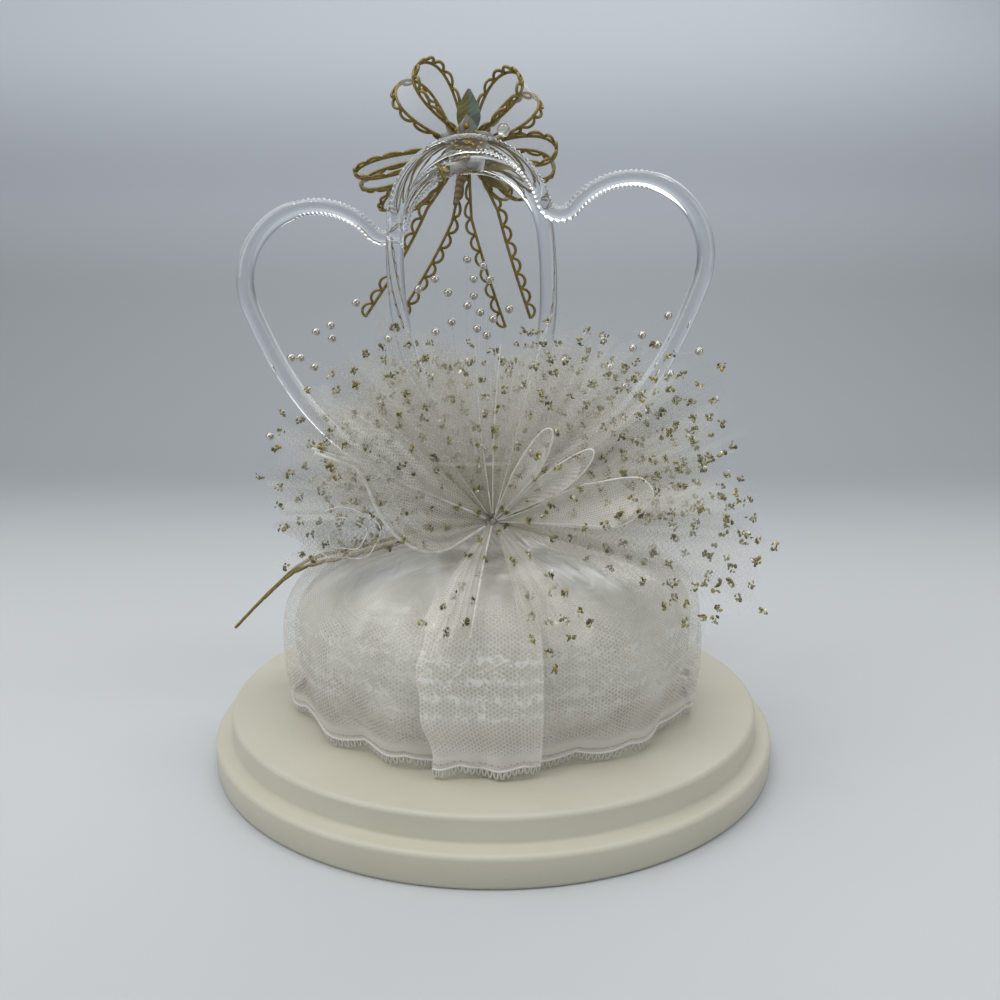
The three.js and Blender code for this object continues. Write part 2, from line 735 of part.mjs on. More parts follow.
function beadPick({ aim, lean, length }) {
  const { out } = ribbonAxes(aim, lean, 0);
  const foot = knot.clone().addScaledVector(out, ribbonStart);
  const head = knot.clone().addScaledVector(out, length);
  const bead = new THREE.SphereGeometry(BEAD_DIAMETER / 2, 10, 8);
  bead.translate(head.x, head.y, head.z);
  return joined([bead, stick(foot, head, wireRadius, 6)]);
}
add(topper, "bead_pick_left", beadPick({ aim: 219, lean: 10, length: 14 }), CLEAR, 0.1);
add(topper, "bead_pick_right", beadPick({ aim: 21, lean: 30, length: 13.5 }), CLEAR, 0.1);

function stemBinding() {
  const { out } = ribbonAxes(STEM_AIM, STEM_LEAN, 0);
  const head = knot.clone().addScaledVector(out, ribbonStart + STEM_RADIUS / 2);
  const end = knot.clone().addScaledVector(out, STEM_LENGTH);
  return stick(head, end, STEM_END_RADIUS, 8, STEM_RADIUS);
}
add(topper, "stem_binding", stemBinding(), OLD_GOLD, 0.6);

// A loose ribbon end that leaves the holder and falls over the skirt's left shoulder
function backRibbon() {
  const route = new THREE.CatmullRomCurve3([
    new THREE.Vector3(HEART_CENTRE - HOLDER_RADIUS - 2, -6, SKIRT_HEIGHT + 2),
    new THREE.Vector3(-SKIRT_RADIUS * 0.65, -12, SKIRT_HEIGHT - 0.06 * RIBBON_END_FALL),
    new THREE.Vector3(-SKIRT_RADIUS * 0.92, -12, SKIRT_HEIGHT - 0.23 * RIBBON_END_FALL),
    new THREE.Vector3(-SKIRT_RADIUS - 0.4 * RIBBON_END_REACH, -9, SKIRT_HEIGHT - 0.6 * RIBBON_END_FALL),
    new THREE.Vector3(-SKIRT_RADIUS - RIBBON_END_REACH, -6, SKIRT_HEIGHT - RIBBON_END_FALL),
  ]);
  return sheet({
    columns: 12,
    rows: 1,
    thickness: RIBBON_THICKNESS,
    pointAt: (u, v) => {
      const across = new THREE.Vector3(0, RIBBON_WIDTH * (v - 0.5), 0);
      return route.getPoint(u).add(across);
    },
  });
}
add(topper, "back_ribbon_end", backRibbon(), OLD_GOLD, 0.4);

export default part;
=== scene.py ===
"""Wedding cake topper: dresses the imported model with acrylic, net, lace, ribbon and pearls."""
import math

import bmesh
import bpy
import numpy as np
from mathutils import Matrix, Vector


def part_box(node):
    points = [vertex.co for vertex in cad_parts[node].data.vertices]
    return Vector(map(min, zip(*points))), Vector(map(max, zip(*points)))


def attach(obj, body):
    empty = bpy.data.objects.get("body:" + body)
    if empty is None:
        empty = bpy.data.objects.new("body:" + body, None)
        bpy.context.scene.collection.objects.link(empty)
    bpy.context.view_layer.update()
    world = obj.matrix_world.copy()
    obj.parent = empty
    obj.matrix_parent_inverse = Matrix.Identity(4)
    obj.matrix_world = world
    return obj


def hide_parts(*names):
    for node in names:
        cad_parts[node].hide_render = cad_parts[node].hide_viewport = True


bl_info = {
    "name": "Wedding cake topper",
    "version": (1, 0, 0),
    "blender": (4, 5, 0),
    "location": "View3D > Sidebar > Topper",
    "description": "Builds the looks of a wedding cake topper round its packed model",
    "category": "Object",
}

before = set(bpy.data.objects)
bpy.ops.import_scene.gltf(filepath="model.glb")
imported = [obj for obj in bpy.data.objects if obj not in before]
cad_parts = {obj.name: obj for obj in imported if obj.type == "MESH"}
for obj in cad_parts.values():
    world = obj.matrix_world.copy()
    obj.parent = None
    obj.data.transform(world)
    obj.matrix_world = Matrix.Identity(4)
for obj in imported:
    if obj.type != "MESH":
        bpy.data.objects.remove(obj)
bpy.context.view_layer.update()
MM = 0.001
TURN = 2 * math.pi
FRONT, REAR = -1, 1
WELD = 1e-7  # metres: points closer than this are one
FIRST_RING, LAST_RING = 0.01, 0.99  # shares of a tube's run before and after which it closes

# Sizes that repeat the part's own, in millimetres, with angles in radians
BASE_RADIUS = 86
BASE_HEIGHT = 15.8
LEDGE_HEIGHT = 8.6
LEDGE_WIDTH = 4.8
FIT_GAP = 0.3
TOPPER_FLOOR = BASE_HEIGHT + FIT_GAP
HOLDER_RADIUS = 15
HOLDER_TOP = TOPPER_FLOOR + 72.2
ROD_RADIUS = 2.65
LOBE_RADIUS = 22
LOBE_HALF = 24
LOBE_HEIGHT = 79.6
CLEFT_RADIUS = 5
TIP_RADIUS = 4
SIDE_ANGLE = math.radians(8)
TIP_ANGLE = math.radians(50)
SIDE_FULLNESS = 36
HEART_CENTRE = -6.2
HEART_DEPTH = 2.8
HEART_STEP = 5
TIP_FLOOR = TOPPER_FLOOR + 54.5
LEFT_TIP = (HEART_CENTRE - 3.7, HEART_DEPTH, TIP_FLOOR)
RIGHT_TIP = (HEART_CENTRE + 7.2, -HEART_DEPTH, TIP_FLOOR + HEART_STEP)
LEFT_TILT = math.radians(-14.3)
RIGHT_TILT = math.radians(11.5)
SKIRT_RADIUS = 62
SKIRT_HEM_RADIUS = 58
SKIRT_BULGE_HEIGHT = 22
SKIRT_HEIGHT = 48
SKIRT_NECK_RADIUS = 22
SKIRT_SHOULDER = 0.55
LACE_TOP = 0.28
LAP_TOP = 0.24
LAP_FROM = math.radians(-107)
LAP_TO = math.radians(-79)
LACE_FOLDS = 13
LACE_FOLD_DEPTH = 3.2
SCALLOP_DEPTH = 1.6
GATHER_FORWARD = 31
GATHER_HEIGHT = TOPPER_FLOOR + 59
NET_REACH_UP = 48
NET_REACH_SIDE = 16
NET_REACH_RIGHT = 6.5
PLEAT_ANGLE = 16
PEARL_RADIUS = 1.3
SPRAY_PITCH = 5
SPRAY_BUD_RADIUS = 1.8
KNOT_RADIUS = 3.4
FLOWER_RADIUS = 7
FLOWER_CUP = 3
BEAD_RADIUS = 2
STEM_LENGTH = 18
STEM_RADIUS = 2
STEM_END_RADIUS = 0.7

# The rest is the dressing's own: lengths in millimetres, and shares and counts without a unit

# Base: insets and heights of its foot, the cove over its ledge, and rings that keep its faces short
FOOT_ROUND = ((1.2, 0), (0.4, 0.3), (0, 1.2))
LEDGE_COVE = ((0.9, 0), (0.25, 0.25), (0, 0.9))
FLOOR_RING = 40
TOP_RING = 60
BASE_SEGMENTS = 192
EDGE_STEPS = 7

# Rods: points of an arc, along the rod and round it, and the notches' fade upwards and sideways
ARC_POINTS = 160
ROD_STEPS = 960
ROD_SIDES = 20
NOTCH_RISE = 4
NOTCH_FADE = 3

# Skirts: the neck's share of the run, the cloths' fullness and stand-off, and their waves
HEM_RUN = SKIRT_BULGE_HEIGHT / (1 - SKIRT_SHOULDER)
SKIRT_ROUND = 0.75
NECK_SHARE = 0.12
NECK_RISE = 8.4
NECK_GAP = 1.2
ORGANZA_INSET = 1.3
ORGANZA_LIFT = 0.1
ORGANZA_RUN = 75
ORGANZA_FULLNESS = 1.15
ORGANZA_GATHERS = 46
GATHER_DEPTH = 0.2
BILLOWS = 11
BILLOW_DEPTH = 1.3
LACE_STAND_OFF = 1.5
LACE_FULLNESS = 1.08
LACE_DRIFT = 1.1
SCALLOP_SHARPNESS = 6
LAP_STAND_OFF = 3
LAP_FULLNESS = 1.05
LAP_TURNED = math.radians(5)
LAP_TURNED_GAP = 0.5
PICOT_SPREAD = 0.34
PICOT_RADIUS = 0.33
PICOT_STEPS = 9
HEM_STEPS = 6
DOWN_STEPS = 240
ORGANZA_GRID = (368, 60)
LACE_GRID = (24 * LACE_FOLDS, 40)
LAP_GRID = (64, 40)
LAP_TURNED_GRID = (8, 40)

# Net: the tied bundle, the plies' cut and crinkles, and the rolled folds
NET_BUNDLE = 1.6
PLEAT_SWING = 4
PLEAT_STEPS = 20
NET_ROWS = 20
NET_CUT_REACH = 58
NET_FULLNESS = 1.25
CURL_START = 0.2
CURL_RUN = 0.6
PLY_SHORTER = 0.06
PLY_LEAN = 4.5
SIDE_SWAY = 2.6
FOLD_START = 0.02
FOLD_STEPS = 26
FOLD_ROLL = 0.2
RIM_STEPS = 40
SCROLL_TURNS = 2.3
SCROLL_DEPTH = 14
SCROLL_RADII = (2.2, 9.5)
SCROLL_TAPER = 0.25
SCROLL_OVAL = (1.15, 0.85)
SCROLL_START = 0.4
SCROLL_GRID = (110, 8)

# Gather ties: radii, how far the peg ends short of the knob, and the windings' depth and rate
KNOB_RADIUS = 0.5 * NET_BUNDLE
KNOB_WIND = (0.03, 26)
KNOB_GRID = (32, 60)
PEG_RADIUS = 0.85 * NET_BUNDLE
PEG_SHORT = 1
PEG_WIND = (0.05, 60)
PEG_GRID = (20, 30)

# Glitter: most clusters to a square metre, a flake's shape, least and most size, and the seeds
FLECK_DENSITY = 40000.0
FLAKE_SHAPE = (1.0, 0.8, 0.35)
FLAKE_SIZES = (0.45, 1.25)
FLAKE_TURN_SEED = 3
FLAKE_SIZE_SEED = 5
FLECK_SEED_SHIFT = 200

# Net fans, in degrees round their gather from straight up, to the right:
# lean tips a fan forward, from and to are its sides, and share is its part of the pouf's reach.
# droop is its fall at the rim in millimetres, swing its pleats' depth, and wild its crinkling.
# curl sweeps the first side round, rounded draws the corners in, and peak raises the middle.
# folds are the places across it of rolled lines, ridge one line's direction, and roll their radius.
# scroll is the place of a rolled side, facing says front or rear, and cloth picks one of the nets.
NET_FANS = {
    "net_back_fan": {"lean": -14, "from": -84, "to": 92, "share": 1},
    "net_left_lobe": {
        "lean": 5, "from": -104, "to": -8, "share": 1, "peak": 0.1, "scroll": (-40, -38, 72.5),
        "folds": (0.73, 1), "roll": 0.17, "cloth": "near",
    },
    "net_right_lobe": {
        "lean": 5, "from": 0, "to": 104, "share": 1.02,
        "folds": (0, 0.15), "roll": 0.17, "cloth": "open",
    },
    "net_left_wing": {
        "lean": 24, "from": -118, "to": -40, "share": 0.97, "droop": 3, "swing": 2, "wild": 0.3,
        "curl": 57, "folds": (0,), "ridge": -60, "roll": 0.45, "cloth": "folded",
    },
    "net_right_wing": {"lean": 24, "from": 60, "to": 108, "share": 1, "droop": 4, "cloth": "open"},
    "net_front_left_fall": {
        "lean": 68, "from": -160, "to": -112, "share": 0.82, "droop": 7, "swing": 2, "wild": 0.6,
        "folds": (0,), "roll": 0.26, "cloth": "folded",
    },
    "net_front_right_fall": {
        "lean": 62, "from": 108, "to": 152, "share": 0.78, "droop": 6, "swing": 2, "wild": 0.6,
    },
    "net_petal_inner": {
        "lean": 44, "from": 17, "to": 35, "share": 0.74, "rounded": 0.4, "wild": 0.2,
        "folds": (0, 1), "roll": 0.21, "cloth": "folded",
    },
    "net_petal_middle": {
        "lean": 44, "from": 37, "to": 55, "share": 0.7, "rounded": 0.4, "wild": 0.2,
        "folds": (0, 1), "roll": 0.21, "cloth": "folded",
    },
    "net_petal_outer": {
        "lean": 44, "from": 61, "to": 80, "share": 0.8, "rounded": 0.24, "wild": 0.4, "curl": -6,
        "folds": (0, 1), "roll": 0.2, "cloth": "folded",
    },
    "net_rear_left_lobe": {"facing": REAR, "lean": 8, "from": -104, "to": -6, "share": 1},
    "net_rear_right_lobe": {"facing": REAR, "lean": 8, "from": 2, "to": 104, "share": 0.95},
}

# Nets: from the rim, how deep one layer stays open and its cover there, the weave's cover in a hole
# and on a thread, and the tones of the rim and the gather, where the darker gather tone is
# painted shade
NETS = {
    "full": ("glitter_net", 14.0, 0.28, (0.08, 0.5), ("cdcabd", "b2ab99")),
    "near": ("near_glitter_net", 9.0, 0.55, (0.08, 0.5), ("c8c5b8", "aea795")),
    "open": ("open_glitter_net", 32.0, 0.14, (0.08, 0.5), ("cdcabd", "b2ab99")),
    "folded": ("folded_glitter_net", 6.0, 0.8, (0.18, 0.58), ("d8d6cc", "bcb6a6")),
}

# Pearl sprays: the root behind the hearts and over the holder, the filament, its arch's share,
# and the steps of filaments and beads
SPRAY_ROOT_BACK = 11
SPRAY_ROOT_RISE = 2.1
SPRAY_ARCH = 0.1
FILAMENT_RADIUS = 0.11
FILAMENT_STEPS = 14
BUD_STEPS = 13
PEARL_SEGMENTS = 20
PEARL_RINGS = 12
# Turn in radians from one pearl or stamen to the next, near the golden angle, so that none line up
SPIRAL = 2.4

# Pearls: each spray's depth, then across from the hearts' centre and up from the holder's top
PEARL_SPRAYS = {
    "pearl_spray_left": (12, [
        (-37, 48), (-50, 39), (-45, 41), (-45, 37), (-58, 31),
        (-55, 31), (-51, 28), (-27, 37), (-66, 6),
    ]),
    "pearl_spray_inner_left": (9.5, [
        (-12, 55), (-8, 51), (-17, 52), (-7, 42), (-12, 39), (-2, 47), (-2, 61),
    ]),
    "pearl_spray_inner_right": (9.5, [
        (3, 59), (5, 55), (0, 55), (0, 50), (2, 45), (6, 43), (11, 46), (1, 40), (4, 38),
    ]),
    "pearl_spray_right": (12, [
        (61, 44), (53, 38), (50, 34), (58, 35), (60, 31),
        (71, 33), (57, 27), (62, 26), (43, 28), (48, 22),
    ]),
}

# Ribbon: where it leaves the knot, how narrow it is there, the gap of a loop's legs, how fast a
# tail opens, a thread loop's half width as a share of its pitch, and the knot's turns of thread
RIBBON_START = KNOT_RADIUS + 0.5
RIBBON_PINCH = 0.2
LEG_GAP = 0.7
TAIL_OPENS = 3.3
THREAD_LOOP_SPREAD = 0.46
KNOT_WRAPS = 5
KNOT_WRAP_TURN = 0.5
KNOT_CORD_RADIUS = 0.6
KNOT_RING_STEPS = 40
RIBBON_GRID = (60, 8)
RIBBON_STEPS = 200
EDGE_LINE_STEPS = 90
THREAD_LOOP_STEPS = 11

# Bow: directions in degrees round the knot, lengths in millimetres
BOW_LOOPS = {
    "bow_loop_upper_left": {"aim": 130, "lean": 12, "roll": 50, "length": 27, "opening": 16},
    "bow_loop_upper_right": {"aim": 46, "lean": 4, "roll": -50, "length": 25.5, "opening": 16},
    "bow_loop_left": {"aim": 195, "lean": 2, "roll": 10, "length": 35, "opening": 5},
    "bow_loop_lower_left": {"aim": 210, "lean": -28, "roll": 10, "length": 34, "opening": 5},
    "bow_loop_right": {"aim": -7, "lean": 2, "roll": -20, "length": 27, "opening": 9},
    "bow_loop_lower_right": {"aim": -38, "lean": -28, "roll": -10, "length": 22, "opening": 6},
}
BOW_TAILS = {
    "bow_tail_right": {"aim": -73, "lean": -11, "roll": 80, "length": 55, "bend": 1, "sway": 1},
    "bow_tail_left": {"aim": -120.5, "lean": -10, "roll": 75, "length": 61, "bend": 0, "sway": -2},
}
# The loose end's way from the holder over the skirt's shoulder, with heights from the skirt's neck
LOOSE_ROUTE = (
    (HEART_CENTRE - 17, -6, 2),
    (-0.65 * SKIRT_RADIUS, -12, -1.56),
    (-0.92 * SKIRT_RADIUS, -12, -5.98),
    (-SKIRT_RADIUS - 6.8, -9, -15.6),
    (-SKIRT_RADIUS - 17, -6, -26),
)

# Flower: its heart forward of the knot, rings of petals by place forward, share of the radius, turn
# and half width, and the stamens' count, first ring, steps outwards, places forward and radius
FLOWER_DEPTH = 4.1
PETALS = 5
PETAL_RINGS = ((0, 1.2, 0.3, 3.3), (0.5, 0.68, 0.95, 2.0))
PETAL_GRID = (12, 10)
STAMENS = 24
STAMEN_RING = 1.1
STAMEN_STEP = 1.05
STAMEN_STEPS = 5
STAMEN_FORWARD = (2.0, 2.5)
STAMEN_MIDDLE = 2.2
STAMEN_RADIUS = 0.9
STAMEN_SEGMENTS = 12
# Leaves: slot, then aim, lean, length and width, then the tones of the folded and the open side
LEAVES = {
    "green_leaf": ("green_leaf_cloth", (88, 16, 17, 6.5), ("748679", "77703c")),
    "gold_leaf": ("gold_leaf_cloth", (-46, 12, 18, 5), ("5f5323", "8f7f3a")),
}
LEAF_STALK = 0.4
LEAF_FOLD = 0.22
LEAF_RIPPLE = 0.25
LEAF_GRID = (24, 8)
# Bead picks: aim and lean in degrees, and length, then the bead's ripples by depth and count
BEAD_PICKS = {"bead_pick_left": (219, 10, 14), "bead_pick_right": (21, 30, 13.5)}
PICK_WIRE_RADIUS = 0.4
PICK_WIRE_END = 1.9
BEAD_RIPPLE = (0.02, 8)
BEAD_SEGMENTS = 28
BEAD_STEPS = 19
# Stem: aim and lean in degrees, its start, the tape's windings, and its cut in metres
STEM_AIM = -103
STEM_LEAN = 14
STEM_START = RIBBON_START + 1
STEM_WIND = (0.06, 40)
STEM_CUT = (0.008, 0.014)
STEM_GRID = (20, 60)

# Stage: the card's floor, bend and wall in millimetres, then places in metres
FLOOR_FRONT = -1500
FLOOR_BACK = 600
CARD_BEND = 400
CARD_TOP = 2400
CARD_HALF = 2500
CARD_BEND_STEPS = 13
CARD_GRID = (2, 120)
CAMERA_PLACE = (0.00194, -0.2638, 0.1222)
SENSOR_WIDTH = 36
NEAREST_SEEN = 0.01
ROOM_TONE = "dfe3ea"
ROOM_STRENGTH = 0.38
# Light has to pass many layers of net
NET_BOUNCES = 64
LAMP_AIM = (0, 0, 0.1)
# Lamps: place, width and height, and power in watts
LAMPS = {
    "overhead": ((-0.15, -0.1, 1.35), (1.5, 1.2), 9.6),
    "left_window": ((-1.1, -0.6, 0.8), (0.7, 1.1), 5.6),
    "right_fill": ((1.1, -0.7, 0.6), (0.8, 0.9), 3.0),
    "back_window": ((0.3, 0.85, 0.9), (1.0, 0.5), 3.0),
    "left_spot": ((-0.3, -0.3, 0.85), (0.14, 0.14), 0.8),
    "right_spot": ((0.42, -0.2, 0.85), (0.14, 0.14), 0.6),
}


def hex_colour(code):
    """Turns an sRGB hex value into linear red, green, blue and alpha."""
    channels = [int(code[i:i + 2], 16) / 255 for i in (0, 2, 4)]
    linear = [c / 12.92 if c <= 0.04045 else ((c + 0.055) / 1.055) ** 2.4 for c in channels]
    return (*linear, 1.0)


def node(tree, kind, settings=None, inputs=None, out=0):
    """Adds a node with its settings, fills or links its inputs, and returns one output."""
    made = tree.nodes.new(kind)
    for key, value in (settings or {}).items():
        setattr(made, key, value)
    for key, value in (inputs or {}).items():
        if isinstance(value, bpy.types.NodeSocket):
            tree.links.new(value, made.inputs[key])
        else:
            made.inputs[key].default_value = value
    return made.outputs[out] if made.outputs else made


def lerp(a, b, share):
    return a + (b - a) * share


def distance_along(points):
    """How far along a line each of its points lies, in their own unit."""
    return np.concatenate([[0], np.cumsum(np.linalg.norm(np.diff(points, axis=0), axis=1))])


def run_length(points):
    """Length of a line through points, in their own unit."""
    return float(np.linalg.norm(np.diff(points, axis=0), axis=1).sum())


def surface(point_at, columns, rows, ring=False, size=(1.0, 1.0), flat=None):
    """A grid of points from point_at(u, v), with the cloth's cut size in metres as its UV."""
    across = columns if ring else columns + 1
    u, v = np.meshgrid(np.arange(across) / columns, np.arange(rows + 1) / rows)
    points = np.stack(np.broadcast_arrays(*point_at(u, v)), -1) * MM
    spread = np.stack(flat(u, v), -1) * MM if flat else None
    return {"points": points, "columns": columns, "rows": rows, "size": size, "spread": spread}


def mesh_piece(name, patches, finish):
    """One smooth object from grid patches, with UV maps cut and, where they give it, spread."""
    vertices = []
    faces = []
    uvs = []
    spreads = []
    for patch in patches:
        first = len(vertices)
        grid = patch["points"]
        across = grid.shape[1]
        vertices.extend(grid.reshape(-1, 3).tolist())
        width, length = patch["size"]
        for row in range(patch["rows"]):
            for column in range(patch["columns"]):
                ahead = column + 1
                corners = ((row, column), (row, ahead), (row + 1, ahead), (row + 1, column))
                faces.append([first + r * across + c % across for r, c in corners])
                uvs.extend(
                    (c / patch["columns"] * width, r / patch["rows"] * length) for r, c in corners
                )
                if patch["spread"] is not None:
                    spreads.extend(patch["spread"][r, c % across] for r, c in corners)
    mesh = bpy.data.meshes.new(name)
    mesh.from_pydata(vertices, [], faces)
    for name_of_map, places in (("cut", uvs), ("spread", spreads)):
        if places:
            layer = mesh.uv_layers.new(name=name_of_map)
            layer.uv.foreach_set("vector", np.array(places, np.float32).ravel())
    shape = bmesh.new()
    shape.from_mesh(mesh)
    bmesh.ops.remove_doubles(shape, verts=shape.verts, dist=WELD)
    bmesh.ops.recalc_face_normals(shape, faces=shape.faces)
    shape.to_mesh(mesh)
    shape.free()
    mesh.shade_smooth()
    mesh.materials.append(finish)
    return shown(name, mesh)


def shown(name, mesh):
    piece = bpy.data.objects.new(name, mesh)
    bpy.context.scene.collection.objects.link(piece)
    return piece


def paint_node(name, finish):
    """Gives its finish to a CAD node that stays."""
    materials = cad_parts[name].data.materials
    materials.clear()
    materials.append(finish)


def seat(piece, slot, *nodes, body="topper"):
    """The piece rides on its body and stands for the nodes it replaces."""
    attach(piece, body)
    if nodes:
        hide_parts(*nodes)
    return piece


def geometry_tree(name, sockets):
    """A geometry tree with named inputs, and its entry node."""
    tree = bpy.data.node_groups.new(name, "GeometryNodeTree")
    tree.interface.new_socket("Geometry", in_out="INPUT", socket_type="NodeSocketGeometry")
    tree.interface.new_socket("Geometry", in_out="OUTPUT", socket_type="NodeSocketGeometry")
    for label, kind in sockets.items():
        tree.interface.new_socket(label, in_out="INPUT", socket_type=kind)
    return tree, tree.nodes.new("NodeGroupInput").outputs


def finish_tree(tree, geometry, entry):
    """Ends a tree: smooth, realized and in its material."""
    smooth = node(tree, "GeometryNodeSetShadeSmooth", None, {"Geometry": geometry})
    real = node(tree, "GeometryNodeRealizeInstances", None, {"Geometry": smooth})
    painted = node(
        tree, "GeometryNodeSetMaterial", None, {"Geometry": real, "Material": entry["Material"]}
    )
    node(tree, "NodeGroupOutput", None, {"Geometry": painted})
    return tree


def thread_tree():
    """Round thread along every line of a mesh."""
    tree, entry = geometry_tree("wound_thread", {
        "Radius": "NodeSocketFloat", "Sides": "NodeSocketInt", "Material": "NodeSocketMaterial",
    })
    line = node(tree, "GeometryNodeMeshToCurve", None, {"Mesh": entry["Geometry"]})
    ring = node(
        tree,
        "GeometryNodeCurvePrimitiveCircle",
        None,
        {"Resolution": entry["Sides"], "Radius": entry["Radius"]},
    )
    tube = node(
        tree,
        "GeometryNodeCurveToMesh",
        None,
        {"Curve": line, "Profile Curve": ring, "Fill Caps": True},
    )
    return finish_tree(tree, tube, entry)


def bead_tree():
    """A bead on every point of a mesh."""
    tree, entry = geometry_tree("beads", {
        "Radius": "NodeSocketFloat", "Segments": "NodeSocketInt", "Material": "NodeSocketMaterial",
    })
    points = node(tree, "GeometryNodeMeshToPoints", None, {"Mesh": entry["Geometry"]})
    bead = node(
        tree,
        "GeometryNodeMeshUVSphere",
        None,
        {"Segments": entry["Segments"], "Rings": PEARL_RINGS, "Radius": entry["Radius"]},
    )
    placed = node(tree, "GeometryNodeInstanceOnPoints", None, {"Points": points, "Instance": bead})
    return finish_tree(tree, placed, entry)


def fleck_tree():
    """Glitter clusters scattered over a cloth: each has a few small flakes with its own tone."""
    tree, entry = geometry_tree(
        "glitter_flecks",
        {
            "Gap": "NodeSocketFloat",
            "Spread": "NodeSocketFloat",
            "Flake": "NodeSocketFloat",
            "Count": "NodeSocketInt",
            "Seed": "NodeSocketInt",
            "Material": "NodeSocketMaterial",
        },
    )
    spots = node(
        tree,
        "GeometryNodeDistributePointsOnFaces",
        {"distribute_method": "POISSON"},
        {
            "Mesh": entry["Geometry"],
            "Distance Min": entry["Gap"],
            "Density Max": FLECK_DENSITY,
            "Seed": entry["Seed"],
        },
    )
    many = node(
        tree,
        "GeometryNodeDuplicateElements",
        {"domain": "POINT"},
        {"Geometry": spots, "Amount": entry["Count"]},
    )
    tone = node(
        tree, "FunctionNodeRandomValue", {"data_type": "FLOAT"}, {"Seed": entry["Seed"]}, out=1
    )
    toned = node(
        tree,
        "GeometryNodeStoreNamedAttribute",
        {"data_type": "FLOAT", "domain": "POINT"},
        {"Geometry": many, "Name": "tone", "Value": tone},
    )
    back = node(
        tree, "ShaderNodeMath", {"operation": "MULTIPLY"}, {0: entry["Spread"], 1: -1.0}
    )
    shift = node(
        tree,
        "FunctionNodeRandomValue",
        {"data_type": "FLOAT_VECTOR"},
        {0: back, 1: entry["Spread"], "Seed": entry["Seed"]},
    )
    moved = node(tree, "GeometryNodeSetPosition", None, {"Geometry": toned, "Offset": shift})
    flake = node(
        tree, "GeometryNodeMeshIcoSphere", None, {"Radius": entry["Flake"], "Subdivisions": 1}
    )
    flat = node(
        tree, "GeometryNodeTransform", None, {"Geometry": flake, "Scale": FLAKE_SHAPE}
    )
    turned = node(
        tree,
        "FunctionNodeRandomValue",
        {"data_type": "FLOAT_VECTOR"},
        {0: (0.0, 0.0, 0.0), 1: (TURN, TURN, TURN), "Seed": FLAKE_TURN_SEED},
    )
    sized = node(
        tree,
        "FunctionNodeRandomValue",
        {"data_type": "FLOAT"},
        {2: FLAKE_SIZES[0], 3: FLAKE_SIZES[1], "Seed": FLAKE_SIZE_SEED},
        out=1,
    )
    placed = node(
        tree,
        "GeometryNodeInstanceOnPoints",
        None,
        {"Points": moved, "Instance": flat, "Rotation": turned, "Scale": sized},
    )
    return finish_tree(tree, placed, entry)


def grown(piece, tree, values):
    """Runs a geometry tree on the piece and keeps its result as a plain mesh."""
    modifier = piece.modifiers.new(tree.name, "NODES")
    modifier.node_group = tree
    for item in tree.interface.items_tree:
        if item.in_out == "INPUT" and item.name in values:
            modifier[item.identifier] = values[item.name]
    graph = bpy.context.evaluated_depsgraph_get()
    mesh = bpy.data.meshes.new_from_object(
        piece.evaluated_get(graph), preserve_all_data_layers=True, depsgraph=graph
    )
    mesh.name = piece.name
    piece.modifiers.remove(modifier)
    piece.data = mesh
    return piece


def thread_piece(name, lines, radius, finish, sides=6):
    """Thread along lines of points, given in millimetres."""
    vertices = []
    edges = []
    for line in lines:
        first = len(vertices)
        vertices.extend((np.asarray(line) * MM).tolist())
        edges.extend((first + k, first + k + 1) for k in range(len(line) - 1))
    mesh = bpy.data.meshes.new(name)
    mesh.from_pydata(vertices, edges, [])
    values = {"Radius": radius * MM, "Sides": sides, "Material": finish}
    return grown(shown(name, mesh), bpy.data.node_groups["wound_thread"], values)


def bead_piece(name, spots, radius, segments, finish):
    """Beads on points, given in millimetres."""
    mesh = bpy.data.meshes.new(name)
    mesh.from_pydata([tuple(spot * MM) for spot in spots], [], [])
    values = {"Radius": radius * MM, "Segments": segments, "Material": finish}
    return grown(shown(name, mesh), bpy.data.node_groups["beads"], values)


def joined(name, *pieces):
    """Joins finished meshes, materials and all, into one new piece."""
    whole = bmesh.new()
    finishes = []
    for piece in pieces:
        offset = len(finishes)
        finishes.extend(piece.data.materials)
        before = len(whole.faces)
        whole.from_mesh(piece.data)
        whole.faces.ensure_lookup_table()
        for face in whole.faces[before:]:
            face.material_index += offset
    mesh = bpy.data.meshes.new(name)
    whole.to_mesh(mesh)
    whole.free()
    for finish in finishes:
        mesh.materials.append(finish)
    for piece in pieces:
        bpy.data.objects.remove(piece)
    return shown(name, mesh)


def principled(name, values):
    """A material whose shader has these fixed values, with its tree and shader."""
    made = bpy.data.materials.new(name)
    made.use_nodes = True
    shader = made.node_tree.nodes["Principled BSDF"]
    for key, value in values.items():
        shader.inputs[key].default_value = value
    return made, made.node_tree, shader


def ivory_paint():
    """Sprayed ivory paint: matte, slightly mottled, with a fine grain."""
    made, tree, shader = principled("ivory_paint", {"Roughness": 0.5, "Coat Weight": 0.06})
    # Clouds about 33 mm across, under a fine spray grain that is drawn at 1.1 mm so that it shows
    place = node(tree, "ShaderNodeTexCoord", out=3)
    cloud = node(tree, "ShaderNodeTexNoise", None, {"Vector": place, "Scale": 30.0, "Detail": 3.0})
    tone = node(tree, "ShaderNodeMix", {"data_type": "RGBA"}, {
        0: cloud, 6: hex_colour("bbb7a4"), 7: hex_colour("c8c4b4"),
    }, out=2)
    tree.links.new(tone, shader.inputs["Base Color"])
    grain = node(tree, "ShaderNodeTexNoise", None, {"Vector": place, "Scale": 900.0, "Detail": 2.0})
    bump = node(tree, "ShaderNodeBump", None, {
        "Strength": 0.12, "Distance": 0.0004, "Height": grain,
    })
    tree.links.new(bump, shader.inputs["Normal"])
    return made


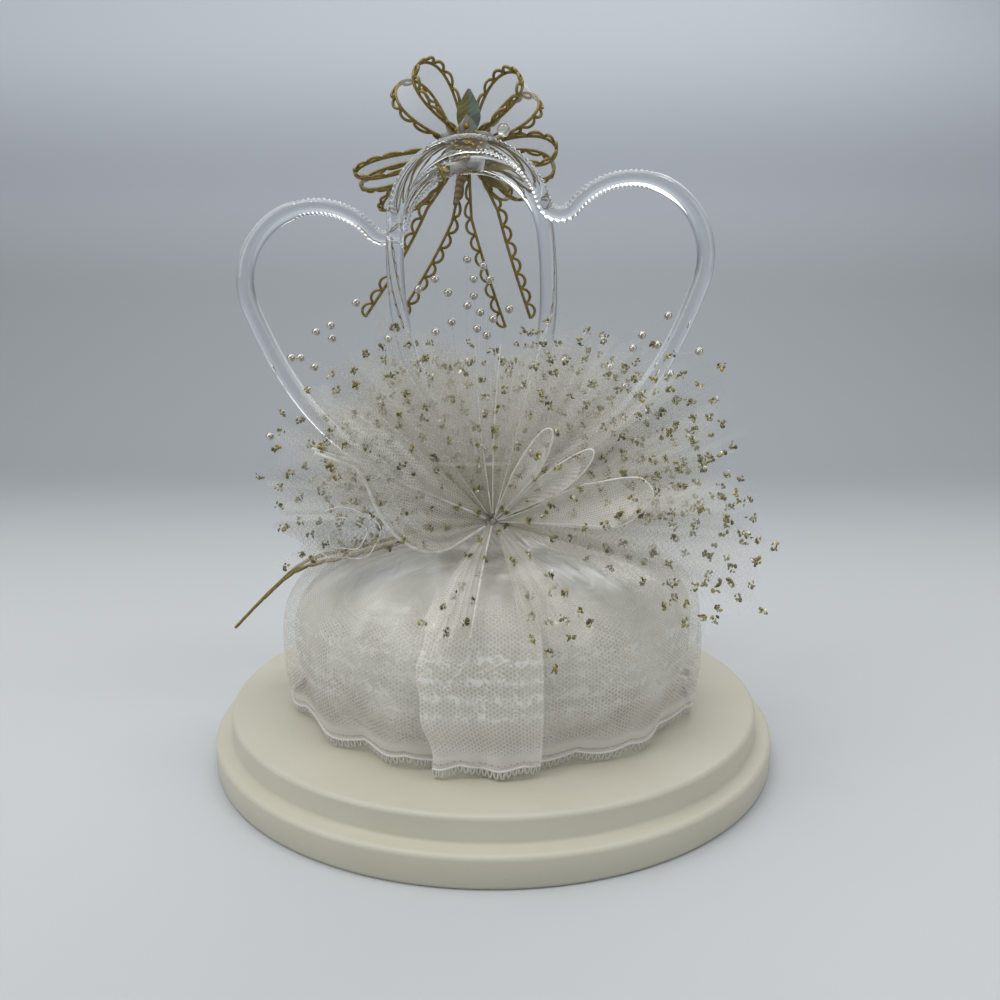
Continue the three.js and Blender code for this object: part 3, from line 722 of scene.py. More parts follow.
def moulded_white():
    """Moulded white plastic: satin, with faint flow marks about 17 mm apart."""
    made, tree, shader = principled("moulded_white", {"Roughness": 0.4})
    place = node(tree, "ShaderNodeTexCoord", out=3)
    flow = node(tree, "ShaderNodeTexNoise", None, {"Vector": place, "Scale": 60.0, "Detail": 2.0})
    tone = node(tree, "ShaderNodeMix", {"data_type": "RGBA"}, {
        0: flow, 6: hex_colour("b4b1a6"), 7: hex_colour("c4c1b8"),
    }, out=2)
    tree.links.new(tone, shader.inputs["Base Color"])
    return made


def clear_acrylic():
    """Polished acrylic rod: clear, bright at its edges, with faint ripples 6 mm apart."""
    made, tree, shader = principled("clear_acrylic", {
        "Base Color": hex_colour("fbfcfd"), "Roughness": 0.02,
        "IOR": 1.49, "Transmission Weight": 1.0,
    })
    place = node(tree, "ShaderNodeTexCoord", out=3)
    ripples = node(tree, "ShaderNodeTexNoise", None, {
        "Vector": place, "Scale": 180.0, "Detail": 1.0,
    })
    bump = node(tree, "ShaderNodeBump", None, {
        "Strength": 0.05, "Distance": 0.0002, "Height": ripples,
    })
    tree.links.new(bump, shader.inputs["Normal"])
    return made


def cut_millimetres(tree, name="cut"):
    """The cloth's own UV map, in millimetres."""
    own = node(tree, "ShaderNodeUVMap", {"uv_map": name})
    return node(tree, "ShaderNodeVectorMath", {"operation": "SCALE"}, {0: own, "Scale": 1 / MM})


def hexagon_net(tree, place, pitch, hole, thread):
    """Cover of a hexagon net with holes a pitch apart: three crossed waves peak in each hole."""
    turn = 2 * TURN / (math.sqrt(3) * pitch)
    waves = []
    for way in (0, TURN / 6, -TURN / 6):
        along = node(tree, "ShaderNodeVectorMath", {"operation": "DOT_PRODUCT"}, {
            0: place, 1: (turn * math.cos(way), turn * math.sin(way), 0.0),
        }, out=1)
        waves.append(node(tree, "ShaderNodeMath", {"operation": "COSINE"}, {0: along}))
    pair = node(tree, "ShaderNodeMath", {"operation": "ADD"}, {0: waves[0], 1: waves[1]})
    peak = node(tree, "ShaderNodeMath", {"operation": "ADD"}, {0: pair, 1: waves[2]})
    # The waves sum to 3 in the middle of a hole and to -1.5 on the threads
    return node(tree, "ShaderNodeMapRange", None, {
        "Value": peak, "From Min": -0.7, "From Max": 0.4, "To Min": thread, "To Max": hole,
    })


def organza():
    """Woven sheer organza: a soft sheen over fine threads, denser where it is gathered."""
    made, tree, shader = principled("organza", {
        "Roughness": 0.24, "Sheen Weight": 0.3, "Sheen Roughness": 0.35,
        "Coat Weight": 0.9, "Coat Roughness": 0.1,
    })
    place = cut_millimetres(tree)
    spread = cut_millimetres(tree, "spread")
    # Denser and thinner clouds about 14 mm across
    fog = node(tree, "ShaderNodeTexNoise", {"noise_dimensions": "2D"}, {
        "Vector": spread, "Scale": 0.07, "Detail": 2.0, "Roughness": 0.5,
    })
    tone = node(tree, "ShaderNodeMix", {"data_type": "RGBA"}, {
        0: fog, 6: hex_colour("cdc9b9"), 7: hex_colour("eae9e4"),
    }, out=2)
    tree.links.new(tone, shader.inputs["Base Color"])
    down = node(tree, "ShaderNodeSeparateXYZ", None, {0: place}).node.outputs[1]
    veil = node(tree, "ShaderNodeMapRange", None, {
        "Value": fog, "From Min": 0.3, "From Max": 0.7, "To Min": 0.5, "To Max": 0.72,
    })
    gathers = node(tree, "ShaderNodeMapRange", None, {
        "Value": down, "From Min": 6.0, "From Max": 22.0, "To Min": 0.9, "To Max": 0.0,
    })
    cover = node(tree, "ShaderNodeMath", {"operation": "MAXIMUM"}, {0: veil, 1: gathers})
    tree.links.new(cover, shader.inputs["Alpha"])
    # Soft creases about 8 mm apart, with finer slubs on them, glint in patches
    slub = node(tree, "ShaderNodeTexNoise", {"noise_dimensions": "2D"}, {
        "Vector": spread, "Scale": 0.12, "Detail": 2.0, "Roughness": 0.5, "Distortion": 0.6,
    })
    bump = node(tree, "ShaderNodeBump", None, {"Strength": 0.42, "Distance": 0.004, "Height": slub})
    tree.links.new(bump, shader.inputs["Normal"])
    return made


def lace(name, hem, ground, work, sprigged):
    """Machine lace: hexagon net, rows of closely worked sprigs, and a dense band above the edge.

    hem is the strip's run in millimetres, ground the net's cover in a hole and on a thread, work
    the cover of worked thread, and sprigged how clearly the sprigs show.
    """
    made, tree, shader = principled(name, {"Roughness": 0.75, "Sheen Weight": 0.2})
    place = cut_millimetres(tree)
    down = node(tree, "ShaderNodeSeparateXYZ", None, {0: place}).node.outputs[1]
    above = node(tree, "ShaderNodeMath", {"operation": "SUBTRACT"}, {0: float(hem), 1: down})
    # Net of 1.1 mm cells
    net = hexagon_net(tree, place, 1.1, *ground)
    # Sprigs: worked leaves 2.3 mm across in rows 4.6 mm apart, from 10 to 34 mm above the edge
    slant = node(tree, "ShaderNodeMapping", None, {
        "Vector": place, "Rotation": (0.0, 0.0, 0.3), "Scale": (0.4, 0.46, 1.0),
    })
    blotch = node(tree, "ShaderNodeTexNoise", {"noise_dimensions": "2D"}, {
        "Vector": slant, "Scale": 1.0, "Detail": 3.0, "Roughness": 0.6, "Distortion": 1.2,
    })
    row_turn = node(tree, "ShaderNodeMath", {"operation": "MULTIPLY"}, {0: above, 1: TURN / 4.6})
    row = node(tree, "ShaderNodeMath", {"operation": "COSINE"}, {0: row_turn})
    rows = node(tree, "ShaderNodeMath", {"operation": "MULTIPLY_ADD"}, {0: row, 1: 0.07, 2: blotch})
    sprig = node(tree, "ShaderNodeMapRange", None, {
        "Value": rows, "From Min": 0.44, "From Max": 0.62, "To Min": 0.0, "To Max": 1.0,
    })
    rise = node(tree, "ShaderNodeMapRange", None, {
        "Value": above, "From Min": 10.0, "From Max": 14.0, "To Min": 0.0, "To Max": 1.0,
    })
    end = node(tree, "ShaderNodeMapRange", None, {
        "Value": above, "From Min": 30.0, "From Max": 34.0, "To Min": 1.0, "To Max": 0.0,
    })
    zone = node(tree, "ShaderNodeMath", {"operation": "MULTIPLY"}, {0: rise, 1: end})
    shown_zone = node(tree, "ShaderNodeMath", {"operation": "MULTIPLY"}, {0: zone, 1: sprigged})
    sprigs = node(tree, "ShaderNodeMath", {"operation": "MULTIPLY"}, {0: sprig, 1: shown_zone})
    # Edge: a dense band that fades out 8 mm up, with one open line in it
    band = node(tree, "ShaderNodeMapRange", None, {
        "Value": above, "From Min": 3.6, "From Max": 8.0, "To Min": 0.72, "To Max": 0.0,
    })
    line = node(tree, "ShaderNodeMath", {"operation": "COMPARE"}, {0: above, 1: 1.4, 2: 0.35})
    open_line = node(tree, "ShaderNodeMath", {"operation": "MULTIPLY_ADD"}, {
        0: line, 1: -0.4, 2: band,
    })
    dense = node(tree, "ShaderNodeMath", {"operation": "MAXIMUM"}, {0: sprigs, 1: open_line})
    worked = node(tree, "ShaderNodeMath", {"operation": "MULTIPLY"}, {0: dense, 1: work})
    full = node(tree, "ShaderNodeMath", {"operation": "MAXIMUM"}, {0: worked, 1: net})
    # The strip's top edge thins out under the net
    top = node(tree, "ShaderNodeMapRange", None, {
        "Value": down, "From Min": 0.0, "From Max": 12.0, "To Min": 0.1, "To Max": 1.0,
    })
    cover = node(tree, "ShaderNodeMath", {"operation": "MULTIPLY"}, {0: full, 1: top})
    tree.links.new(cover, shader.inputs["Alpha"])
    tone = node(tree, "ShaderNodeMix", {"data_type": "RGBA"}, {
        0: worked, 6: hex_colour("dcd9cd"), 7: hex_colour("f3f2ee"),
    }, out=2)
    tree.links.new(tone, shader.inputs["Base Color"])
    bump = node(tree, "ShaderNodeBump", None, {
        "Strength": 0.4, "Distance": 0.0004, "Height": cover,
    })
    tree.links.new(bump, shader.inputs["Normal"])
    return made


def glitter_net(name, open_depth, rim_cover, weave, tones):
    """Fine nylon net: half-millimetre cells drawn at 0.85 mm to show, and painted browner at the
    gather as shade.

    From the rim, open_depth is how deep one layer stays open, and rim_cover its cover there. weave
    is the cover in a hole and on a thread, and tones are those of the rim and the gather, the
    gather's darker tone being painted shade.
    """
    made, tree, shader = principled(name, {"Roughness": 0.6, "Sheen Weight": 0.4})
    place = cut_millimetres(tree)
    thread = hexagon_net(tree, cut_millimetres(tree, "spread"), 0.85, *weave)
    # Crushed pleats about 3 mm apart lie closer together and read as pale rays
    drawn = node(tree, "ShaderNodeVectorMath", {"operation": "MULTIPLY"}, {
        0: place, 1: (0.3, 0.014, 1.0),
    })
    ray = node(tree, "ShaderNodeTexNoise", {"noise_dimensions": "2D"}, {
        "Vector": drawn, "Scale": 1.0, "Detail": 3.0, "Roughness": 0.6,
    })
    crush = node(tree, "ShaderNodeMapRange", None, {
        "Value": ray, "From Min": 0.5, "From Max": 0.8, "To Min": 0.0, "To Max": 0.07,
    })
    layered = node(tree, "ShaderNodeMath", {"operation": "ADD"}, {0: thread, 1: crush})
    # The outer part is one open layer, so mostly its glitter shows
    in_from_rim = node(tree, "ShaderNodeSeparateXYZ", None, {0: place}).node.outputs[1]
    rim = node(tree, "ShaderNodeMapRange", None, {
        "Value": in_from_rim, "From Min": 0.0, "From Max": open_depth,
        "To Min": rim_cover, "To Max": 1.0,
    })
    sheer = node(tree, "ShaderNodeMath", {"operation": "MULTIPLY"}, {0: layered, 1: rim})
    close = node(tree, "ShaderNodeMapRange", None, {
        "Value": in_from_rim, "From Min": 44.0, "From Max": 58.0, "To Min": 0.0, "To Max": 0.7,
    })
    cover = node(tree, "ShaderNodeMath", {"operation": "MAXIMUM"}, {0: sheer, 1: close})
    tree.links.new(cover, shader.inputs["Alpha"])
    # Painted shade: from 16 mm in from the rim the tone darkens towards the gather
    deep = node(tree, "ShaderNodeMapRange", None, {
        "Value": in_from_rim, "From Min": 16.0, "From Max": 56.0, "To Min": 0.0, "To Max": 1.0,
    })
    tone = node(tree, "ShaderNodeMix", {"data_type": "RGBA"}, {
        0: deep, 6: hex_colour(tones[0]), 7: hex_colour(tones[1]),
    }, out=2)
    tree.links.new(tone, shader.inputs["Base Color"])
    return made


def net_fold():
    """Doubled edge of the net: pressed flat, denser than the sheet, its weave drawn at 2.5 mm."""
    made, tree, shader = principled("net_fold", {"Roughness": 0.6, "Sheen Weight": 0.4})
    place = node(tree, "ShaderNodeTexCoord", out=3)
    weave = node(tree, "ShaderNodeTexNoise", None, {"Vector": place, "Scale": 400.0, "Detail": 1.0})
    tone = node(tree, "ShaderNodeMix", {"data_type": "RGBA"}, {
        0: weave, 6: hex_colour("dedcd4"), 7: hex_colour("f0efea"),
    }, out=2)
    tree.links.new(tone, shader.inputs["Base Color"])
    cover = node(tree, "ShaderNodeMapRange", None, {
        "Value": weave, "From Min": 0.3, "From Max": 0.7, "To Min": 0.6, "To Max": 0.9,
    })
    tree.links.new(cover, shader.inputs["Alpha"])
    return made


def gathered_thread():
    """Cotton thread wound over the gathered net: 1 mm turns, painted grey for the shade of the
    folds they bind.
    """
    made, tree, shader = principled("gathered_thread", {"Roughness": 0.8, "Sheen Weight": 0.2})
    place = node(tree, "ShaderNodeTexCoord", out=3)
    twist = node(tree, "ShaderNodeTexNoise", None, {"Vector": place, "Scale": 900.0, "Detail": 2.0})
    # Painted shade: both tones are greyed for the shade among the gathered folds
    tone = node(tree, "ShaderNodeMix", {"data_type": "RGBA"}, {
        0: twist, 6: hex_colour("8e8878"), 7: hex_colour("aea898"),
    }, out=2)
    tree.links.new(tone, shader.inputs["Base Color"])
    return made


def white_thread():
    """Spun white thread: soft, with a slight twist of half a millimetre."""
    made, tree, shader = principled("white_thread", {"Roughness": 0.7, "Sheen Weight": 0.3})
    place = node(tree, "ShaderNodeTexCoord", out=3)
    twist = node(tree, "ShaderNodeTexWave", None, {
        "Vector": place, "Scale": 600.0, "Distortion": 2.0,
    })
    tone = node(tree, "ShaderNodeMix", {"data_type": "RGBA"}, {
        0: twist, 6: hex_colour("c4c2ba"), 7: hex_colour("dad8d2"),
    }, out=2)
    tree.links.new(tone, shader.inputs["Base Color"])
    return made


def gold_thread():
    """Antique gold metal thread: 1.4 mm turns, olive brown between and brighter on their crowns,
    where the brighter tone is a painted highlight.
    """
    made, tree, shader = principled("gold_thread", {"Roughness": 0.42, "Metallic": 0.55})
    place = node(tree, "ShaderNodeTexCoord", out=3)
    turns = node(tree, "ShaderNodeTexNoise", None, {"Vector": place, "Scale": 700.0, "Detail": 2.0})
    # Painted highlight on the raised crowns; the olive brown between them is the thread's own tone
    tone = node(tree, "ShaderNodeMix", {"data_type": "RGBA"}, {
        0: turns, 6: hex_colour("4c4120"), 7: hex_colour("a8924a"),
    }, out=2)
    tree.links.new(tone, shader.inputs["Base Color"])
    bump = node(tree, "ShaderNodeBump", None, {
        "Strength": 0.5, "Distance": 0.0002, "Height": turns,
    })
    tree.links.new(bump, shader.inputs["Normal"])
    return made


def ribbon_film():
    """Sheer glossy ribbon: almost clear, with a faint 0.4 mm weave that catches the light."""
    made, tree, shader = principled("ribbon_film", {
        "Base Color": hex_colour("e2e3e2"), "Roughness": 0.16, "Coat Weight": 0.5,
    })
    place = cut_millimetres(tree)
    fine = node(tree, "ShaderNodeTexWave", {"bands_direction": "Y"}, {
        "Vector": place, "Scale": 0.8, "Distortion": 0.6, "Detail": 1.0,
    })
    veil = node(tree, "ShaderNodeMapRange", None, {"Value": fine, "To Min": 0.14, "To Max": 0.28})
    tree.links.new(veil, shader.inputs["Alpha"])
    return made


def pearl_coat():
    """Pearlised bead: silvery coat whose tone drifts over one bead, and a sharp clear top."""
    made, tree, shader = principled("pearl_coat", {
        "Metallic": 0.85, "Roughness": 0.17, "Coat Weight": 0.8, "Coat Roughness": 0.04,
    })
    place = node(tree, "ShaderNodeTexCoord", out=3)
    drift = node(tree, "ShaderNodeTexNoise", None, {"Vector": place, "Scale": 400.0})
    tone = node(tree, "ShaderNodeMix", {"data_type": "RGBA"}, {
        0: drift, 6: hex_colour("a9a69a"), 7: hex_colour("cfcbc0"),
    }, out=2)
    tree.links.new(tone, shader.inputs["Base Color"])
    return made


def clear_filament():
    """Nylon filament: clear and thin, seen by painted highlights about 11 mm apart."""
    made, tree, shader = principled("clear_filament", {"Roughness": 0.15})
    place = node(tree, "ShaderNodeTexCoord", out=3)
    # Painted highlights: where the noise is high the filament is painted lighter and denser
    drift = node(tree, "ShaderNodeTexNoise", None, {"Vector": place, "Scale": 90.0})
    tone = node(tree, "ShaderNodeMix", {"data_type": "RGBA"}, {
        0: drift, 6: hex_colour("c4c6c8"), 7: hex_colour("dfe0e0"),
    }, out=2)
    tree.links.new(tone, shader.inputs["Base Color"])
    veil = node(tree, "ShaderNodeMapRange", None, {"Value": drift, "To Min": 0.08, "To Max": 0.26})
    tree.links.new(veil, shader.inputs["Alpha"])
    return made


def glitter_flakes():
    """Pressed glitter: olive, yellow green and gold flakes, with a few painted white glints."""
    made, tree, shader = principled("glitter_flakes", {"Roughness": 0.3, "Metallic": 0.3})
    tone = node(tree, "ShaderNodeAttribute", {"attribute_name": "tone"}, out=2)
    ramp = node(tree, "ShaderNodeValToRGB", None, {"Fac": tone}).node
    ramp.color_ramp.interpolation = "CONSTANT"
    # The last stop paints a few flakes near white as glints
    stops = (
        (0.0, "5f5c3a"), (0.26, "77734a"), (0.52, "938c58"), (0.76, "ae9c56"), (0.92, "f0e8d0"),
    )
    while len(ramp.color_ramp.elements) < len(stops):
        ramp.color_ramp.elements.new(1.0)
    for element, (place, code) in zip(ramp.color_ramp.elements, stops):
        element.position = place
        element.color = hex_colour(code)
    tree.links.new(ramp.outputs[0], shader.inputs["Base Color"])
    return made


def petal_silk():
    """Stiffened petal silk: greyish white, with 0.7 mm veins from the heart of the flower."""
    made, tree, shader = principled("petal_silk", {"Roughness": 0.6, "Sheen Weight": 0.4})
    place = cut_millimetres(tree)
    drawn = node(tree, "ShaderNodeVectorMath", {"operation": "MULTIPLY"}, {
        0: place, 1: (1.4, 0.12, 1.0),
    })
    vein = node(tree, "ShaderNodeTexNoise", {"noise_dimensions": "2D"}, {
        "Vector": drawn, "Scale": 1.0, "Detail": 3.0,
    })
    tone = node(tree, "ShaderNodeMix", {"data_type": "RGBA"}, {
        0: vein, 6: hex_colour("918f87"), 7: hex_colour("d3d1ca"),
    }, out=2)
    tree.links.new(tone, shader.inputs["Base Color"])
    veil = node(tree, "ShaderNodeMapRange", None, {"Value": vein, "To Min": 0.7, "To Max": 0.95})
    tree.links.new(veil, shader.inputs["Alpha"])
    bump = node(tree, "ShaderNodeBump", None, {"Strength": 0.5, "Distance": 0.0004, "Height": vein})
    tree.links.new(bump, shader.inputs["Normal"])
    return made


def leaf_cloth(name, fold, open_side):
    """Pressed leaf cloth: two tones either side of the midrib, with faint side veins 2 mm apart."""
    made, tree, shader = principled(name, {"Roughness": 0.5, "Sheen Weight": 0.3})
    place = cut_millimetres(tree)
    across = node(tree, "ShaderNodeSeparateXYZ", None, {0: place}).node.outputs[1]
    mottle = node(tree, "ShaderNodeTexNoise", {"noise_dimensions": "2D"}, {
        "Vector": place, "Scale": 0.7, "Detail": 3.0,
    })
    wander = node(tree, "ShaderNodeMath", {"operation": "MULTIPLY_ADD"}, {
        0: mottle, 1: 1.6, 2: across,
    })
    side = node(tree, "ShaderNodeMapRange", None, {
        "Value": wander, "From Min": 3.2, "From Max": 4.4, "To Min": 0.0, "To Max": 1.0,
    })
    tone = node(tree, "ShaderNodeMix", {"data_type": "RGBA"}, {
        0: side, 6: hex_colour(fold), 7: hex_colour(open_side),
    }, out=2)
    tree.links.new(tone, shader.inputs["Base Color"])
    vein = node(tree, "ShaderNodeTexWave", {"bands_direction": "DIAGONAL"}, {
        "Vector": place, "Scale": 0.3, "Distortion": 2.0, "Detail": 1.0,
    })
    bump = node(tree, "ShaderNodeBump", None, {
        "Strength": 0.25, "Distance": 0.0003, "Height": vein,
    })
    tree.links.new(bump, shader.inputs["Normal"])
    return made


def gold_glitter():
    """Coarse gold glitter on the stamens: each 0.45 mm grain catches the light by itself."""
    made, tree, shader = principled("gold_glitter", {"Roughness": 0.28, "Metallic": 0.9})
    place = node(tree, "ShaderNodeTexCoord", out=3)
    grain = node(tree, "ShaderNodeTexVoronoi", None, {"Vector": place, "Scale": 2200.0}, out=1)
    tone = node(tree, "ShaderNodeMix", {"data_type": "RGBA"}, {
        0: grain, 6: hex_colour("5c5020"), 7: hex_colour("bfa650"),
    }, out=2)
    tree.links.new(tone, shader.inputs["Base Color"])
    bump = node(tree, "ShaderNodeBump", None, {
        "Strength": 0.9, "Distance": 0.0004, "Height": grain,
    })
    tree.links.new(bump, shader.inputs["Normal"])
    return made


def clear_bead_glass():
    """Pressed glass bead: clear, with slight ripples 2 mm apart."""
    made, tree, shader = principled("clear_bead_glass", {
        "Base Color": hex_colour("f3f1ea"), "Roughness": 0.05,
        "IOR": 1.5, "Transmission Weight": 0.85,
    })
    place = node(tree, "ShaderNodeTexCoord", out=3)
    ripple = node(tree, "ShaderNodeTexNoise", None, {"Vector": place, "Scale": 500.0})
    bump = node(tree, "ShaderNodeBump", None, {
        "Strength": 0.15, "Distance": 0.0003, "Height": ripple,
    })
    tree.links.new(bump, shader.inputs["Normal"])
    return made


def stem_tape():
    """Crepe floral tape wound round the stem: brown, with slanting laps 2 mm apart."""
    made, tree, shader = principled("stem_tape", {"Roughness": 0.7})
    place = cut_millimetres(tree)
    lap = node(tree, "ShaderNodeTexWave", {"bands_direction": "Y"}, {
        "Vector": place, "Scale": 0.16, "Distortion": 3.0, "Detail": 3.0,
    })
    tone = node(tree, "ShaderNodeMix", {"data_type": "RGBA"}, {
        0: lap, 6: hex_colour("6d5f42"), 7: hex_colour("8c7c5a"),
    }, out=2)
    tree.links.new(tone, shader.inputs["Base Color"])
    bump = node(tree, "ShaderNodeBump", None, {"Strength": 0.3, "Distance": 0.0004, "Height": lap})
    tree.links.new(bump, shader.inputs["Normal"])
    return made


def backdrop_paint(settings):
    """Matt backdrop card: pale, with a soft band of painted shade behind the object."""
    made, tree, shader = principled("backdrop_card", {"Roughness": 0.9, "Specular IOR Level": 0.1})
    place = node(tree, "ShaderNodeUVMap", {"uv_map": "cut"})
    along = node(tree, "ShaderNodeSeparateXYZ", None, {0: place}).node.outputs[1]
    ramp = node(tree, "ShaderNodeValToRGB", None, {"Fac": along}).node
    ramp.color_ramp.interpolation = "EASE"
    # Places along the card's run, from the floor's front edge to the wall's top. The band is
    # painted shade and the sky a painted lighter top
    stops = (
        (0.0, settings.floor), (0.33, settings.floor), (0.44, settings.band), (0.53, settings.band),
        (0.565, settings.wall), (0.61, settings.sky), (1.0, settings.sky),
    )
    while len(ramp.color_ramp.elements) < len(stops):
        ramp.color_ramp.elements.new(1.0)
    for element, (place, colour) in zip(ramp.color_ramp.elements, stops):
        element.position = place
        element.color = (*colour, 1.0)
    tree.links.new(ramp.outputs[0], shader.inputs["Base Color"])
    return made


class BaseSettings(bpy.types.PropertyGroup):
    """Sizes of the display base."""

    edge_round: bpy.props.FloatProperty(
        name="Edge round", description="Radius of the base's rounded edges",
        default=0.0014, unit="LENGTH",
    )


class HeartSettings(bpy.types.PropertyGroup):
    """Notches of the heart rods."""

    notch_pitch: bpy.props.FloatProperty(
        name="Notch pitch", description="Distance between notches over the lobes",
        default=0.0014, unit="LENGTH",
    )
    notch_depth: bpy.props.FloatProperty(
        name="Notch depth", description="Depth of the notches",
        default=0.0008, unit="LENGTH",
    )


class LaceSettings(bpy.types.PropertyGroup):
    """Picot edge of the lace."""

    picot_pitch: bpy.props.FloatProperty(
        name="Picot pitch", description="Distance between picot loops",
        default=0.0019, unit="LENGTH",
    )
    picot_height: bpy.props.FloatProperty(
        name="Picot height", description="Height of a picot loop",
        default=0.0021, unit="LENGTH",
    )


class NetSettings(bpy.types.PropertyGroup):
    """Glitter of the net."""

    fleck_gap: bpy.props.FloatProperty(
        name="Fleck gap", description="Least distance between glitter clusters",
        default=0.0045, unit="LENGTH",
    )
    fleck_spread: bpy.props.FloatProperty(
        name="Fleck spread", description="Reach of one glitter cluster",
        default=0.00095, unit="LENGTH",
    )
    flake: bpy.props.FloatProperty(
        name="Flake", description="Radius of one flake",
        default=0.0006, unit="LENGTH",
    )
    flakes: bpy.props.IntProperty(name="Flakes", description="Flakes in a cluster", default=9)


class BowSettings(bpy.types.PropertyGroup):
    """Ribbon of the bow."""

    film_width: bpy.props.FloatProperty(
        name="Film width", description="Width between the gold lines",
        default=0.0088, unit="LENGTH",
    )
    scallop_pitch: bpy.props.FloatProperty(
        name="Scallop pitch", description="Length of one thread loop",
        default=0.0053, unit="LENGTH",
    )
    scallop_height: bpy.props.FloatProperty(
        name="Scallop height", description="Height of one thread loop",
        default=0.0023, unit="LENGTH",
    )
    thread_radius: bpy.props.FloatProperty(
        name="Thread radius", description="Radius of the gold thread",
        default=0.00048, unit="LENGTH",
    )


class StageSettings(bpy.types.PropertyGroup):
    """Backdrop, lights and camera."""

    floor: bpy.props.FloatVectorProperty(
        name="Floor", description="Tone of the floor",
        subtype="COLOR", default=hex_colour("c1c4c5")[:3],
    )
    # The band is painted shade behind the object, and the sky a painted lighter top
    band: bpy.props.FloatVectorProperty(
        name="Band", description="Tone behind the object",
        subtype="COLOR", default=hex_colour("a2a6a9")[:3],
    )
    wall: bpy.props.FloatVectorProperty(
        name="Wall", description="Tone above the band",
        subtype="COLOR", default=hex_colour("b2b6bc")[:3],
    )
    sky: bpy.props.FloatVectorProperty(
        name="Sky", description="Tone of the top",
        subtype="COLOR", default=hex_colour("d0d5da")[:3],
    )
    lens: bpy.props.FloatProperty(
        name="Lens", description="Focal length on a 36 mm sensor, in millimetres",
        default=30.93,
    )
    pitch: bpy.props.FloatProperty(
        name="Pitch", description="How far the camera looks down",
        default=math.radians(9.99), subtype="ANGLE",
    )


def rod_line():
    """The heart rod's centre line as a closed run of points, tip at the origin and lobes up."""
    reach = LOBE_RADIUS + CLEFT_RADIUS
    cleft = LOBE_HEIGHT + math.sqrt(reach * reach - LOBE_HALF * LOBE_HALF)
    bend = math.atan2(cleft - LOBE_HEIGHT, LOBE_HALF)
    tip = TIP_RADIUS + ROD_RADIUS

    def arc(x, z, radius, start, stop):
        angle = np.linspace(start, stop, ARC_POINTS)
        return np.stack([x + radius * np.cos(angle), z + radius * np.sin(angle)], -1)

    lobe = arc(LOBE_HALF, LOBE_HEIGHT, LOBE_RADIUS, math.pi - bend, -SIDE_ANGLE)
    point = arc(0, tip, TIP_RADIUS, -TIP_ANGLE, -math.pi / 2)
    upper = lobe[-1] + SIDE_FULLNESS * np.array([-math.sin(SIDE_ANGLE), -math.cos(SIDE_ANGLE)])
    lower = point[0] + SIDE_FULLNESS * np.array([math.sin(TIP_ANGLE), math.cos(TIP_ANGLE)])
    t = np.linspace(0, 1, ARC_POINTS)[:, None]
    side = lobe[-1] * (1 - t) ** 3 + 3 * upper * t * (1 - t) ** 2
    side = side + 3 * lower * t * t * (1 - t) + point[0] * t ** 3
    half = np.concatenate([arc(0, cleft, CLEFT_RADIUS, -math.pi / 2, -bend), lobe, side, point])
    return np.concatenate([half, half[::-1] * np.array([-1, 1])])


def even_run(line, count):
    """Points at even distances along a closed run, and its length."""
    closed = np.concatenate([line, line[:1]])
    along = distance_along(closed)
    spots = np.linspace(0, along[-1], count, endpoint=False)
    return np.stack([np.interp(spots, along, closed[:, k]) for k in range(2)], -1), along[-1]


def notched_heart(name, tip, tilt, settings, finish):
    """One rod heart, notched on its outer and inner side from the lobes' tops to the cleft."""
    line, length = even_run(rod_line(), ROD_STEPS)
    ahead = np.roll(line, -1, 0) - np.roll(line, 1, 0)
    ahead = ahead / np.linalg.norm(ahead, axis=1)[:, None]
    teeth = round(length * MM / settings.notch_pitch)
    raised = np.clip((line[:, 1] - LOBE_HEIGHT) / NOTCH_RISE, 0, 1)
    inside = np.clip((LOBE_HALF + NOTCH_FADE - np.abs(line[:, 0])) / NOTCH_FADE, 0, 1)
    over = raised * inside
    depth = settings.notch_depth / MM

    def point_at(u, v):
        k = np.rint(u * ROD_STEPS).astype(int) % ROD_STEPS
        angle = TURN * v
        saw = np.abs((u * teeth) % 1 * 2 - 1)
        notch = depth * saw * over[k] * np.cos(angle) ** 2
        out = (ROD_RADIUS - notch) * np.cos(angle)
        x = line[k, 0] - ahead[k, 1] * out
        z = line[k, 1] + ahead[k, 0] * out
        y = ROD_RADIUS * np.sin(angle)
        turned_x = x * math.cos(tilt) + z * math.sin(tilt)
        turned_z = z * math.cos(tilt) - x * math.sin(tilt)
        return tip[0] + turned_x, tip[1] + y, tip[2] + turned_z

    size = (length * MM, ROD_RADIUS * TURN * MM)
    patch = surface(point_at, ROD_STEPS, ROD_SIDES, ring=True, size=size)
    return mesh_piece(name, [patch], finish)


def turned_patch(profile, segments):
    """A turned surface round the axis from a profile of radius and height."""
    profile = np.asarray(profile, float)
    run = distance_along(profile)

    def point_at(u, v):
        k = np.rint(v * (len(profile) - 1)).astype(int)
        return profile[k, 0] * np.cos(TURN * u), profile[k, 0] * np.sin(TURN * u), profile[k, 1]

    size = (TURN * profile[:, 0].max() * MM, run[-1] * MM)
    return surface(point_at, segments, len(profile) - 1, ring=True, size=size)


def puff(v):
    """The puffed skirt's radius and height, from 0 at the neck to 1 at the hem."""
    angle = (math.pi / 2) * np.clip(v / SKIRT_SHOULDER, 0, 1)
    fall = np.clip((v - SKIRT_SHOULDER) / (1 - SKIRT_SHOULDER), 0, 1)
    upper = v < SKIRT_SHOULDER
    radius = np.where(
        upper,
        lerp(SKIRT_NECK_RADIUS, SKIRT_RADIUS, np.sin(angle)),
        lerp(SKIRT_RADIUS, SKIRT_HEM_RADIUS, fall * fall),
    )
    rounded = np.clip(np.cos(angle), 0, 1) ** SKIRT_ROUND
    top = lerp(SKIRT_BULGE_HEIGHT, SKIRT_HEIGHT, rounded)
    return radius, np.where(upper, top, lerp(SKIRT_BULGE_HEIGHT, 0, fall))


